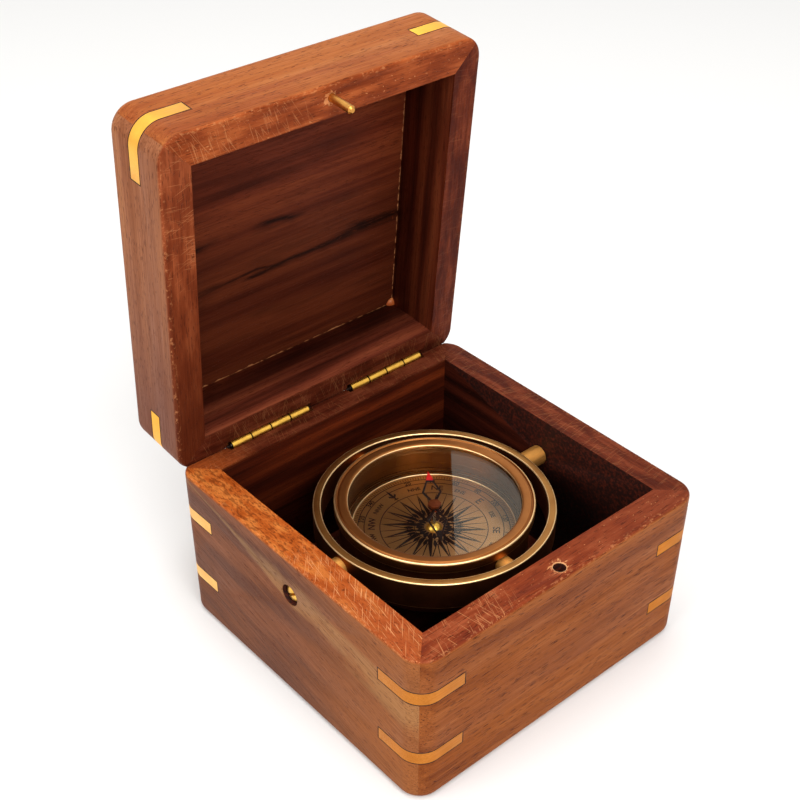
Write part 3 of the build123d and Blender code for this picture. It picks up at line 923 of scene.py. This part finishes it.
@dataclass
class WoodenHalf:
    """The base or the lid: mitred boards, eased a little where a hand would sand them."""

    part: Part
    boards: dict[str, Rosewood]
    bores: Sequence[Bore] = ()
    ease_mm: float = 0.22
    ease_from_deg: float = 40.0
    mitre_slack: float = 0.05
    hinge_side: float = 45.5
    rim: float = 50.15
    rim_slack: float = 0.5
    strip_slack: float = 0.3

    def build(self) -> None:
        """Builds each board from a copy of its node."""
        turn = closing_turn(self.part)
        prefix = self.part.prefix
        strips = [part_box(node) for node in frame["nodes"] if node.startswith(f"{prefix}_strip")]
        for node, finish in self.boards.items():
            shape = copied_shape(node)
            for face in ease_edges(shape, self.ease_mm, self.ease_from_deg, self.eased):
                face.material_index = self.zone(face.calc_center_median(), strips)
            # Faces inside the bores take the bored wood: end grain, made dark as painted shade.
            for face in shape.faces:
                if any(bore.holds(turn @ face.calc_center_median()) for bore in self.bores):
                    face.material_index = Zone.BORE
            # The eased rim edges take pale tones: worn wood, with a painted highlight along the edge.
            worn_highlit = replace(finish, name=f"{finish.name}_worn_edge_highlight", rim=WORN_EDGE_HIGHLIGHT, pits=0.0, scratches=0.0)
            finishes = (finish, worn_highlit, GLUE, BORED_GRAIN_AND_SHADE)
            publish(to_piece(f"{node}_board", shape), finishes, self.part.body, [node])

    def zone(self, point: Vector, strips: Iterable[tuple[Vector, Vector]]) -> Zone:
        """Finds the zone of a point on an eased edge, given the corners of each strip's box."""
        slack = self.strip_slack * MM
        if any(all(low[i] - slack < point[i] < high[i] + slack for i in range(3)) for low, high in strips):
            return Zone.STRIP_SEAT
        height = (closing_turn(self.part) @ point).z
        return Zone.WORN_EDGE_HIGHLIGHT if abs(height - self.rim) < self.rim_slack else Zone.BOARD

    def eased(self, edge: bmesh.types.BMEdge) -> bool:
        """Tells whether an edge is sanded: not on a mitre, and not in the hinge seats."""
        ends = [closing_turn(self.part) @ vert.co for vert in edge.verts]
        mitre = all(abs(abs(end.x) - abs(end.y)) < self.mitre_slack for end in ends)
        return not mitre and not any(end.y > self.hinge_side for end in ends)


@dataclass
class ShadeFillsAndGlueDrop:
    """Dark fills of painted shade in the joint behind the hinges, which keep light out of it, and a drop of
    glue.
    """

    spans: Sequence[Pair] = ((-46.8, -34.6), (-4.6, 8.1), (38.1, 46.8))
    hinge_y: float = 48.0
    bevel_start: float = 0.09
    rim_half_gap: float = 0.15
    bevel_deg: float = 42.5
    thickness: float = 0.08
    width: float = 0.7
    base_start: float = 0.7
    lid_start: float = 1.6
    hinge_spans: Sequence[Pair] = ((-33.1, -6.1), (9.6, 36.6))
    plug_gap: float = 0.1
    plug_radius: float = 0.5
    plug_offset: float = 0.88
    plug_length: float = 1.0
    drop_corner: Triple = (41.3, 41.3, 68.9)
    drop_reach: Triple = (2.4, 2.0, 1.5)

    def build(self) -> None:
        """Lays one row of dark strips of painted shade on each bevel, plugs the hinges' seats and sets a drop
        of glue in the lid.
        """
        self.axis_z = HINGE["pos_m"][2] / MM
        self.lay(Part.BASE, -1, self.base_start)
        self.lay(Part.LID, 1, self.lid_start)
        self.build_plugs()
        drop = bmesh.new()
        place = Matrix.Translation(self.drop_corner) @ Matrix.Diagonal((*self.drop_reach, 1.0))
        matrix = closing_turn(Part.LID).inverted() @ place
        bmesh.ops.create_icosphere(drop, subdivisions=3, radius=1.0, matrix=matrix)
        publish(to_piece("lid_corner_glue_drop", drop), [GLUE_DROP], "lid")

    def build_plugs(self) -> None:
        """Builds a short dark plug of painted shade past each end of each hinge."""
        shape = bmesh.new()
        turn = Matrix.Rotation(radians(90), 4, "Y")
        y = self.hinge_y + self.plug_offset * cos(radians(self.bevel_deg))
        z = self.axis_z - self.plug_offset * sin(radians(self.bevel_deg))
        past = self.plug_gap + self.plug_length / 2
        radius, length = self.plug_radius * MM, self.plug_length * MM
        size = {"segments": 24, "radius1": radius, "radius2": radius, "depth": length}
        for x in (x for left, right in self.hinge_spans for x in (left - past, right + past)):
            place = Matrix.Translation(Vector((x, y, z)) * MM)
            bmesh.ops.create_cone(shape, cap_ends=True, matrix=place @ turn, **size)
        publish(to_piece("hinge_seat_shade_plugs", shape), [JOINT_SHADE_FILL], "case")

    def lay(self, part: Part, side: int, start: float) -> None:
        """Lays the dark strips of painted shade of one half.

        Args:
            part: The half that they lie on.
            side: 1 where its bevel rises from the joint, and -1 where it falls.
            start: How far down the bevel they start, in millimetres.
        """
        shape = bmesh.new()
        slope = Matrix.Rotation(radians(side * self.bevel_deg), 4, "X")
        foot_z = self.axis_z + side * self.rim_half_gap
        foot = Matrix.Translation((0.0, self.hinge_y + self.bevel_start, foot_z))
        for left, right in self.spans:
            size = Matrix.Diagonal((right - left, self.width, self.thickness, 1.0))
            centre = ((left + right) / 2, start + self.width / 2, -side * self.thickness / 2)
            move = foot @ slope @ Matrix.Translation(centre) @ size
            bmesh.ops.create_cube(shape, size=1.0, matrix=closing_turn(part).inverted() @ move)
        bmesh.ops.recalc_face_normals(shape, faces=shape.faces)
        shade_strips = to_piece(f"{part.prefix}_joint_shade_strips", shape)
        publish(shade_strips, [JOINT_SHADE_FILL], part.body)


@dataclass
class Fittings:
    """The brass let into the boards: corner strips, hinges, nails and the peg."""

    strip_ease_mm: float = 0.12
    strip_ease_from_deg: float = 60.0
    cap_radius: float = 2.55
    cap_span: Pair = (46.9, 49.4)
    cap_height: float = 38.0
    cap_slot: float = 0.8
    cap_dome: float = 0.9
    cap_steps: int = 40
    dome_steps: int = 5
    cap_turn_deg: float = 35.0

    def build(self) -> None:
        """Builds the strips and the screw caps, and dresses the rest."""
        self.cap("left", -1)
        self.cap("right", 1)
        for node in sorted(frame["nodes"]):
            if "_strip_" in node:
                self.strip(node)
            elif "hinge_leaf" in node:
                dress(node, LEFT_KNUCKLES if node.endswith("left") else RIGHT_KNUCKLES)
            elif "hinge_nails" in node:
                dress(node, HINGE_BRASS)
            elif node == "locating_peg":
                dress(node, PEG_BRASS)
            elif node.startswith("hinge_pin"):
                dress(node, STEEL)

    def strip(self, node: str) -> None:
        """Builds one strip, with a line of dried glue round its edge."""
        shape = copied_shape(node)
        for face in ease_edges(shape, self.strip_ease_mm, self.strip_ease_from_deg, segments=1):
            face.material_index = 1
        body = "case" if node.startswith("base") else "lid"
        finish = LID_BRASS if body == "lid" else FRONT_BRASS if "front" in node else BACK_BRASS
        publish(to_piece(f"{node}_inlay", shape), (finish, GLUE), body, [node])

    def cap(self, name: str, side: int) -> None:
        """Builds the slotted brass cap that closes a pivot screw's bore.

        Args:
            name: The side's name.
            side: -1 on the left and 1 on the right.
        """
        shape = bmesh.new()
        inner, outer = self.cap_span
        high = outer - inner
        reach, slot, floor = self.cap_radius, self.cap_slot / 2 * MM, high - self.cap_dome
        angles = [radians(90 * i / self.dome_steps) for i in range(self.dome_steps)]
        dome = [(reach * cos(a), high - self.cap_dome * (1 - sin(a))) for a in angles]
        add_turned(shape, [(0.0, 0.0), (reach, 0.0), *dome, (0.0, high)], self.cap_steps)
        bmesh.ops.remove_doubles(shape, verts=shape.verts, dist=MERGE_MM * MM)
        for edge_x in (-slot, slot):
            geometry = shape.verts[:] + shape.edges[:] + shape.faces[:]
            bmesh.ops.bisect_plane(shape, geom=geometry, plane_co=(edge_x, 0, 0), plane_no=(1, 0, 0))
        for vert in shape.verts:
            if abs(vert.co.x) < slot * 0.999 and vert.co.z > floor * MM:
                vert.co.z = floor * MM
        bmesh.ops.recalc_face_normals(shape, faces=shape.faces)
        turn = Matrix.Rotation(radians(self.cap_turn_deg), 4, "Z")
        turn = Matrix.Rotation(radians(side * 90), 4, "Y") @ turn
        place = Matrix.Translation((side * inner * MM, 0.0, self.cap_height * MM))
        bmesh.ops.transform(shape, matrix=place @ turn, verts=shape.verts)
        publish(to_piece(f"screw_cap_{name}", shape), [HINGE_BRASS], "case")


@dataclass
class Gimbal:
    """The ring with its sleeves, bosses and screws."""

    wall: float = 2.3
    ease: float = 0.32

    def build(self) -> None:
        """Builds the ring, polished on its edges with a painted highlight and patinated on its sides with
        painted shade, and dresses its pivots.
        """
        outer, bottom, top = turned_size("outer_ring")
        inner = outer - self.wall
        shape = turned_shape([(inner, bottom), (outer, bottom), (outer, top), (inner, top)], self.ease)
        # Faces that look sideways take the patina, darkened as painted shade.
        for face in shape.faces:
            if abs(face.normal.z) < 0.1:
                face.material_index = 2
        finishes = (RING_BRASS, POLISHED_EDGE_HIGHLIGHT, PATINA_AND_SHADE_BRASS)
        publish(to_piece("gimbal_ring_band", shape), finishes, "gimbal_ring", ["outer_ring"])
        for node in frame["nodes"]:
            if node.startswith(("ring_sleeve", "bowl_pivot")):
                dress(node, SLEEVE_BRASS)
            elif node.startswith("pivot_screw"):
                dress(node, HINGE_BRASS)


@dataclass
class Bowl:
    """The glazed bowl: its turned shell, bezel, glass and lead weight."""

    wall: float = 1.6
    ledge: float = 1.8
    floor: float = 2.0
    corner: float = 8.0
    bezel_inner: float = 23.7
    bezel_lip: float = 0.4
    bezel_edge: float = 0.25
    bezel_ease: float = 0.17
    groove: float = 26.55
    groove_width: float = 0.4
    groove_depth: float = 0.3
    # How far the lip falls as an even slope, and as its last steep round.
    lip_fall: Pair = (0.35, 0.65)
    lip_steepness: int = 6
    # How far in from its innermost and outermost edges the bezel has no polished edge with its painted
    # highlight.
    polished: Pair = (0.5, 0.6)
    lip_shares: tuple[float, ...] = (0.0, 0.2, 0.4, 0.55, 0.7, 0.8, 0.88, 0.94, 1.0)

    def build(self) -> None:
        """Builds the bowl's pieces."""
        self.build_shell()
        self.build_bezel()
        dress("cover_glass", CLEAR_GLASS)
        dress("balance_weight", LEAD)

    def build_shell(self) -> None:
        """Turns the shell, with its ledge for the dial, its round bottom edge and its patinated outside,
        darkened as painted shade.
        """
        outer, bottom, top = turned_size("bowl_shell")
        dial_bottom = turned_size("dial")[1]
        inner = outer - self.wall
        shelf = inner - self.ledge
        inner_corner = self.corner - self.wall - self.ledge
        outline = [
            (0.0, bottom),
            *arc((outer - self.corner, bottom + self.corner), self.corner, -90, 0, 12),
            (outer, top),
            (inner, top),
            (inner, dial_bottom),
            (shelf, dial_bottom),
            *arc((shelf - inner_corner, bottom + self.floor + inner_corner), inner_corner, 0, -90, 6),
            (0.0, bottom + self.floor),
        ]
        shape = turned_shape(outline)
        # Faces that look outwards or down take the patina, darkened as painted shade.
        for face in shape.faces:
            middle = face.calc_center_median()
            face.material_index = int(face.normal.xy.dot(middle.xy) > 0 or face.normal.z < -0.5)
        finishes = (BOWL_BRASS, PATINA_AND_SHADE_BRASS)
        publish(to_piece("turned_bowl", shape), finishes, "bowl", ["bowl_shell"])

    def build_bezel(self) -> None:
        """Turns the bezel, with its groove, its rounded lip and its two polished edges, which carry a painted
        highlight.
        """
        outer, bottom, top = turned_size("bezel_ring")
        glass_top = turned_size("cover_glass")[2]
        bowl_outer = turned_size("bowl_shell")[0]
        groove_in = self.groove - self.groove_width / 2
        groove_out = self.groove + self.groove_width / 2
        reach = groove_in - self.bezel_inner
        slope, round_end = self.lip_fall
        falls = [slope * share + round_end * share**self.lip_steepness for share in self.lip_shares]
        lip = [
            (self.bezel_inner + reach * (1 - share), top - self.bezel_lip * fall)
            for share, fall in zip(self.lip_shares, falls)
        ]
        outline = [
            (self.bezel_inner, glass_top),
            (bowl_outer, glass_top),
            (bowl_outer, bottom),
            (outer, bottom),
            (outer, top - self.bezel_edge),
            (outer - self.bezel_edge, top),
            (groove_out, top),
            (groove_out, top - self.groove_depth),
            (groove_in, top - self.groove_depth),
            *lip,
        ]
        shape = turned_shape(outline, self.bezel_ease)
        for face in shape.faces:
            radius = face.calc_center_median().xy.length / MM
            if self.bezel_inner + self.polished[0] < radius < outer - self.polished[1]:
                face.material_index = 0
        finishes = (BEZEL_BRASS, POLISHED_EDGE_HIGHLIGHT)
        publish(to_piece("turned_bezel", shape), finishes, "bowl", ["bezel_ring"])


@dataclass
class Dial:
    """The brass dial and all that is printed on it. Its flat outlines are in millimetres, with y outwards."""

    ink: float = 0.025
    ring_inner: float = 22.6
    ring_ease: float = 0.25
    circle_radii: tuple[float, ...] = (5.45, 15.0, 19.4, 21.15)
    circle_width: float = 0.24
    tick_outer: float = 22.4
    tick_inner: float = 21.55
    long_tick_inner: float = 21.15
    tick_width: float = 0.14
    tick_step_deg: int = 2
    rays: int = 32
    inner_leaves: int = 20
    # Degrees that the outer and the inner leaves are turned past the rays.
    leaf_turns: Pair = (5.6, 4.0)
    rose_reach: float = 15.0
    rose_line: float = 0.2
    # Where a point's black half starts, and how far short of its tip its outline's two lines end.
    black_from: float = 3.6
    line_ends: Pair = (0.4, 2.6)
    # Half the width of a point, and how far out it is widest.
    long_point: Pair = (1.5, 5.6)
    short_point: Pair = (1.1, 6.8)
    thin_ray: Sequence[Pair] = ((-0.19, 7.2), (0.19, 7.2), (0.05, 14.9), (-0.05, 14.9))
    outer_leaf: Sequence[Pair] = ((-0.3, 5.7), (0.3, 5.7), (0.56, 7.2), (0.0, 8.6), (-0.56, 7.2))
    inner_leaf: Sequence[Pair] = ((-0.3, 2.7), (0.3, 2.7), (0.7, 4.3), (0.0, 5.25), (-0.7, 4.3))
    fleur_petals: Sequence[Sequence[Pair]] = (
        ((0.1, 16.5), (1.25, 17.6), (1.0, 18.3), (0.35, 17.5)),
        ((0.1, 15.9), (0.75, 15.7), (0.7, 16.1), (0.1, 16.2)),
    )
    fleur_blade: Sequence[Pair] = ((-0.09, 15.1), (0.09, 15.1), (0.42, 18.3), (0.0, 20.9), (-0.42, 18.3))
    number_step_deg: int = 20
    number_radius: float = 20.25
    number_height: float = 1.45
    letter_radius: float = 17.2
    # The height of each wind's letters, by how many they are.
    letter_heights: Triple = (2.6, 2.08, 1.35)
    # A font's size for its letters' height, and how much bolder they are made.
    font_share: float = 1.35
    bolder: float = 0.04

    def build(self) -> None:
        """Dresses the plate and prints the dial."""
        dress("dial", DIAL_BRASS)
        dress("pin_boss", HINGE_BRASS)
        dress("centre_pin", STEEL)
        self.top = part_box("dial")[1].z
        self.build_ring()
        self.print_circles()
        self.print_ticks()
        self.print_rose()
        self.print_words()

    def build_ring(self) -> None:
        """Turns the ring that holds the dial down, with a polished inner edge that carries a painted
        highlight.
        """
        outer, low, high = turned_size("dial_ring")
        outline = [(self.ring_inner, low), (outer, low), (outer, high), (self.ring_inner, high)]
        ring = to_piece("turned_dial_ring", turned_shape(outline, self.ring_ease, 160))
        publish(ring, (BOWL_BRASS, POLISHED_EDGE_HIGHLIGHT), "bowl", ["dial_ring"])

    def inked(self, name: str, shape: Shape) -> None:
        """Gives flat faces in the XY plane the ink's thickness and lays them on the dial."""
        raised = bmesh.ops.extrude_face_region(shape, geom=shape.faces[:])
        moved = [item for item in raised["geom"] if isinstance(item, bmesh.types.BMVert)]
        bmesh.ops.translate(shape, verts=moved, vec=(0, 0, self.ink * MM))
        bmesh.ops.translate(shape, verts=shape.verts, vec=(0, 0, self.top))
        bmesh.ops.recalc_face_normals(shape, faces=shape.faces)
        publish(to_piece(name, shape), [BLACK_INK], "bowl")

    def add_flat(self, shape: Shape, corners: Iterable[Pair], azimuth: float = 0.0) -> None:
        """Adds one flat face, turned by degrees from north towards east."""
        turn = Matrix.Rotation(radians(-azimuth), 3, "Z")
        shape.faces.new([shape.verts.new(turn @ Vector((x * MM, y * MM, 0.0))) for x, y in corners])

    def print_circles(self) -> None:
        """Prints the circles that part the dial's bands."""
        shape = bmesh.new()
        low, high = self.top / MM, self.top / MM + self.ink
        for radius in self.circle_radii:
            inner, outer = radius - self.circle_width / 2, radius + self.circle_width / 2
            add_turned(shape, [(inner, low), (outer, low), (outer, high), (inner, high)], 128)
        bmesh.ops.remove_doubles(shape, verts=shape.verts, dist=MERGE_MM * MM)
        bmesh.ops.recalc_face_normals(shape, faces=shape.faces)
        publish(to_piece("dial_circles", shape), [BLACK_INK], "bowl")

    def print_ticks(self) -> None:
        """Prints the degree marks, longer at each tenth."""
        shape = bmesh.new()
        half = self.tick_width / 2
        for azimuth in range(0, 360, self.tick_step_deg):
            inner = self.long_tick_inner if azimuth % 10 == 0 else self.tick_inner
            corners = [(-half, inner), (half, inner), (half, self.tick_outer), (-half, self.tick_outer)]
            self.add_flat(shape, corners, azimuth)
        self.inked("dial_degree_marks", shape)

    def print_rose(self) -> None:
        """Prints the traditional rose: split points over fine rays, a dense middle, and a fleur at north."""
        shape = bmesh.new()
        for number in range(self.rays):
            azimuth = number * 360 / self.rays
            if number % 2:
                self.add_flat(shape, self.thin_ray, azimuth)
            else:
                self.print_point(shape, azimuth, *(self.short_point if number % 4 else self.long_point))
            self.add_flat(shape, self.outer_leaf, azimuth + self.leaf_turns[0])
        for number in range(self.inner_leaves):
            self.add_flat(shape, self.inner_leaf, number * 360 / self.inner_leaves + self.leaf_turns[1])
        for side in (-1, 1):
            for petal in self.fleur_petals:
                self.add_flat(shape, [(side * x, y) for x, y in petal][::-side])
        self.add_flat(shape, self.fleur_blade)
        self.inked("dial_rose", shape)

    def print_point(self, shape: Shape, azimuth: float, half_width: float, waist: float) -> None:
        """Adds one split point of the rose, with one side black and the other outlined.

        Args:
            shape: The rose's shape.
            azimuth: Degrees from north towards east.
            half_width: Half the point's width, in millimetres.
            waist: How far from the middle it is widest.
        """
        reach, line = self.rose_reach, self.rose_line
        self.add_flat(shape, [(0.03, self.black_from), (half_width, waist), (0.03, reach)], azimuth)
        tips = [(-0.05, reach - short) for short in self.line_ends]
        outline = [tips[0], (-half_width, waist), (line - half_width, waist), tips[1]]
        self.add_flat(shape, outline, azimuth)

    def print_words(self) -> None:
        """Prints the figures and the winds, each with its foot to the middle. North has the fleur instead."""
        shape = bmesh.new()
        for azimuth in range(self.number_step_deg, 360, self.number_step_deg):
            self.add_text(shape, str(azimuth), self.number_height, self.number_radius, azimuth)
        for start, winds in ((45, "NE E SE S SW W NW"), (22.5, "NNE ENE ESE SSE SSW WSW WNW NNW")):
            for number, wind in enumerate(winds.split()):
                height = self.letter_heights[len(wind) - 1]
                self.add_text(shape, wind, height, self.letter_radius, start + number * 45)
        self.inked("dial_figures", shape)

    def add_text(self, shape: Shape, words: str, height: float, radius: float, azimuth: float) -> None:
        """Adds flat letters.

        Args:
            shape: The shape that they are added to.
            words: What they say.
            height: Their height in millimetres.
            radius: How far from the middle their centre is.
            azimuth: Degrees from north towards east.
        """
        curve = bpy.data.curves.new("letters", "FONT")
        curve.body = words
        curve.size = height * self.font_share * MM
        curve.offset = self.bolder * MM
        curve.align_x = "CENTER"
        curve.align_y = "CENTER"
        curve.resolution_u = 4
        holder = bpy.data.objects.new("letters", curve)
        mesh = bpy.data.meshes.new_from_object(holder)
        mesh.transform(Matrix.Rotation(radians(-azimuth), 4, "Z") @ Matrix.Translation((0, radius * MM, 0)))
        shape.from_mesh(mesh)
        bpy.data.objects.remove(holder)
        bpy.data.curves.remove(curve)
        bpy.data.meshes.remove(mesh)


@dataclass
class Needle:
    """The needle: black openwork blade, red tip and browned cap."""

    ease_mm: float = 0.06
    ease_from_deg: float = 40.0
    sharp_deg: float = 20.0

    def build(self) -> None:
        """Builds each piece from a copy of its node."""
        looks = (
            ("needle_blade", NEEDLE_BLACK, "needle_black"),
            ("north_tip", NEEDLE_RED, "needle_red"),
            ("needle_cap", COPPER_BROWN, "brass"),
        )
        for node, finish, slot in looks:
            shape = copied_shape(node)
            ease_edges(shape, self.ease_mm, self.ease_from_deg)
            publish(to_piece(f"{node}_eased", shape, self.sharp_deg), [finish], "needle", [node])


@dataclass
class Studio:
    """The pale floor, the soft lamps and the camera at the photograph's angle."""

    camera_mm: Triple = (-193.89, -208.34, 277.04)
    look: Triple = (0.50682, 0.58218, -0.63577)
    roll_deg: float = 0.17
    lens_mm: float = 60.83
    shift_y: float = 0.125
    floor_reach: float = 6.0
    # What the lamps point at, in metres, and each lamp's name, place, side and power.
    lit_point: Triple = (0.0, 0.0, 0.05)
    lamps: Sequence[tuple[str, Triple, float, float]] = (
        ("key_softbox", (-0.25, -0.75, 0.95), 0.7, 9.0),
        ("fill_softbox", (-0.95, 0.1, 0.7), 0.7, 5.0),
        ("overhead_softbox", (0.05, 0.1, 1.2), 0.8, 6.0),
    )

    def build(self) -> None:
        """Sets up the view, the world, the floor and the lamps."""
        scene = bpy.context.scene
        scene.view_settings.view_transform = "Standard"
        self.build_camera(scene)
        self.build_world(scene)
        shape = bmesh.new()
        bmesh.ops.create_grid(shape, x_segments=1, y_segments=1, size=self.floor_reach)
        floor = to_piece("floor", shape)
        floor.data.materials.append(PALE_FLOOR.material())
        for name, place, size, power in self.lamps:
            light = bpy.data.lights.new(name, "AREA")
            light.size = size
            light.energy = power
            aim = Vector(self.lit_point) - Vector(place)
            self.hang(scene, bpy.data.objects.new(name, light), place, aim.to_track_quat("-Z", "Y"))

    def hang(self, scene: Scene, thing: Object, place: Sequence[float], turn: Quaternion) -> None:
        """Places a camera or a lamp in the scene."""
        thing.location = place
        thing.rotation_mode = "QUATERNION"
        thing.rotation_quaternion = turn
        scene.collection.objects.link(thing)

    def build_camera(self, scene: Scene) -> None:
        """Builds the scene's camera."""
        lens = bpy.data.cameras.new("camera")
        lens.lens = self.lens_mm
        lens.sensor_width = 36.0
        lens.shift_y = self.shift_y
        lens.clip_start = 0.01
        camera = bpy.data.objects.new("camera", lens)
        roll = Quaternion((0, 0, 1), radians(self.roll_deg))
        turn = Vector(self.look).to_track_quat("-Z", "Y") @ roll
        self.hang(scene, camera, Vector(self.camera_mm) * MM, turn)
        scene.camera = camera

    def build_world(self, scene: Scene) -> None:
        """Lights the world softly, and shows it white to the camera, to gloss and through glass."""
        world = bpy.data.worlds.new("studio")
        world.use_nodes = True
        tree = world.node_tree
        path = add_node(tree, "ShaderNodeLightPath").node.outputs
        shown: Socket | float = 0.0
        for ray in ("Is Camera Ray", "Is Glossy Ray", "Is Transmission Ray"):
            shown = add_node(tree, MATH, (shown, path[ray]), **LARGER)
        level = add_node(tree, SPAN, {0: shown, 3: 0.45, 4: 1.0})
        set_inputs(tree, tree.nodes["Background"], (linear("#FFFFFF"), level))
        scene.world = world


DARK_INSIDE = Tones("#240D08", "#42190F", "#582416")
BACK_INSIDE = Tones("#2A0E08", "#541E0E", "#84381A")
LID_INSIDE = Tones("#2C0A05", "#521C0E", "#72301A")
LID_SIDES = Tones("#3C160C", "#682C1A", "#884226")
PANEL_INSIDE = Tones("#541F0F", "#73301B", "#8C4124")
LID_BACK = Tones("#451C12", "#763624", "#994F33")
LID_FRONT_RIM = Tones("#843918", "#994721", "#B05A2D")
RIGHT_RIM = Tones("#4E1C0D", "#662A15", "#7A3820")
RED_RIM = Tones("#76301A", "#86391C", "#9A4C2C")
LID_RIM = Tones("#723016", "#843C1E", "#984C2A")
ORANGE_RIM = Tones("#A44C18", "#BC5E24", "#D07836")
DARK_RIM = Tones("#46190D", "#5C2615", "#6E3420")
LID_RIGHT_RIM = Tones("#4D190A", "#642611", "#78341B")
# Pale tones of the eased rim edges: real wear, with a painted highlight along the edge.
WORN_EDGE_HIGHLIGHT = Tones("#D09868", "#E0AC78", "#ECC090")
PLAIN_FACE = Tones("#6E3A1A", "#844824", "#965A2A")

BASE_BOARDS = {
    "base_front_wall": Rosewood(
        "rosewood_base_front", Part.BASE, Grain.ALONG_X, 1.3,
        Tones("#7C3E18", "#924F22", "#A05C2C"), RED_RIM, DARK_INSIDE,
        FarEnd(-5.0, 40.0, rim="#763620", amount=0.7), heart_share=0.1, ring_share=0.04, pores=0.85,
        pore_marks=replace(PORES, size=(3.4, 0.3)), scratches=0.5, scratched=(-50.0, -18.0), pits=0.0,
        torn_at=(0.0, -46.3),
    ),
    "base_left_wall": Rosewood(
        "rosewood_base_left", Part.BASE, Grain.ALONG_Y, 4.9,
        Tones("#663E2D", "#78482F", "#885439"), ORANGE_RIM, DARK_INSIDE,
        FarEnd(2.0, -40.0, face="#9E5E30", rim="#A24C26"), slant_deg=-13.0,
        streaks=replace(STREAKS, size=(50.0, 3.0), swirl=1.2), heart_share=0.14, ring_share=0.25,
        pits=0.5, pit_marks=replace(PITS, size=(2.0, 0.75)), pitted=(-4.0, 50.0), scratches=0.7,
        scratched=(-50.0, 0.0), scratch_gather=0.03, scratch_turns=(42.0, 12.0), sap=(40.5, 0.2, 2.2),
        sap_share=0.45,
    ),
    "base_right_wall": Rosewood(
        "rosewood_base_right", Part.BASE, Grain.ALONG_Y, 8.2, PLAIN_FACE, RIGHT_RIM, DARK_INSIDE
    ),
    "base_back_wall": Rosewood(
        "rosewood_base_back", Part.BASE, Grain.ALONG_X, 12.6, PLAIN_FACE, DARK_RIM, BACK_INSIDE,
        FarEnd(-28.0, -42.0, rim="#A04C20"),
    ),
    "base_floor": Rosewood(
        "rosewood_base_floor", Part.BASE, Grain.ALONG_X, 15.4, PLAIN_FACE, RED_RIM, DARK_INSIDE
    ),
}
LID_BOARDS = {
    "lid_front_wall": Rosewood(
        "rosewood_lid_front", Part.LID, Grain.ALONG_X, 2.7,
        Tones("#964C26", "#A85E30", "#B46C3A"), LID_FRONT_RIM, LID_INSIDE, heart_share=0.06, ring_share=0.04,
        scratches=0.3, scratched=(-50.0, -8.0), scratch_turns=(106.0, 124.0), pits=0.0,
        torn_at=(-0.8, -46.3), torn_reach=(2.9, 1.3),
    ),
    "lid_left_wall": Rosewood(
        "rosewood_lid_left", Part.LID, Grain.ALONG_Y, 6.1,
        Tones("#8A5234", "#9A6040", "#A86C46"), LID_RIM, LID_SIDES,
        # Its face and rim turn darker towards the hinge end as painted shade.
        FarEnd(-16.0, 34.0, face="#744534", rim="#52200F"), heart_share=0.06, ring_share=0.08,
        scratches=0.25, scratched=(-50.0, -10.0), pits=0.0,
    ),
    "lid_right_wall": Rosewood(
        "rosewood_lid_right", Part.LID, Grain.ALONG_Y, 10.8, PLAIN_FACE, LID_RIGHT_RIM, LID_SIDES,
        scratches=0.05,
    ),
    "lid_back_wall": Rosewood(
        "rosewood_lid_back", Part.LID, Grain.ALONG_X, 13.9, PLAIN_FACE, DARK_RIM, LID_BACK
    ),
    "lid_panel": Rosewood(
        "rosewood_lid_panel", Part.LID, Grain.ALONG_X, 21.7,
        Tones("#7A4426", "#905430", "#A0663A"), RED_RIM, PANEL_INSIDE, heart="#160704", heart_share=0.35,
        # Its inside darkens towards the hinge as painted shade.
        heart_marks=replace(HEARTWOOD, size=(30.0, 4.0)), inside_shade=(-30.0, 4.0, 0.6), glued=True,
        black_streaks=(
            (-52.0, -20.0, -5.0, 1.6),
            (-12.0, 8.0, -3.0, 1.3),
            (-42.0, 46.0, 10.0, 1.0),
            (14.0, 52.0, 9.0, 2.0),
        ),
    ),
}
BASE_BORES = (
    Bore(2, (0.0, -46.3, 50.0), 1.7),
    Bore(0, (-50.0, 0.0, 38.0), 3.1),
    Bore(0, (50.0, 0.0, 38.0), 3.1),
)


def main() -> None:
    """Builds the studio and every piece of the compass box in order."""
    logging.basicConfig(level=logging.INFO)
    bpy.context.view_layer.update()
    for assembly in (
        Studio(),
        WoodenHalf(Part.BASE, BASE_BOARDS, BASE_BORES),
        WoodenHalf(Part.LID, LID_BOARDS),
        ShadeFillsAndGlueDrop(),
        Fittings(),
        Gimbal(),
        Bowl(),
        Dial(),
        Needle(),
    ):
        assembly.build()
        LOG.info("%s is done", type(assembly).__name__)


if __name__ == "__main__":
    main()
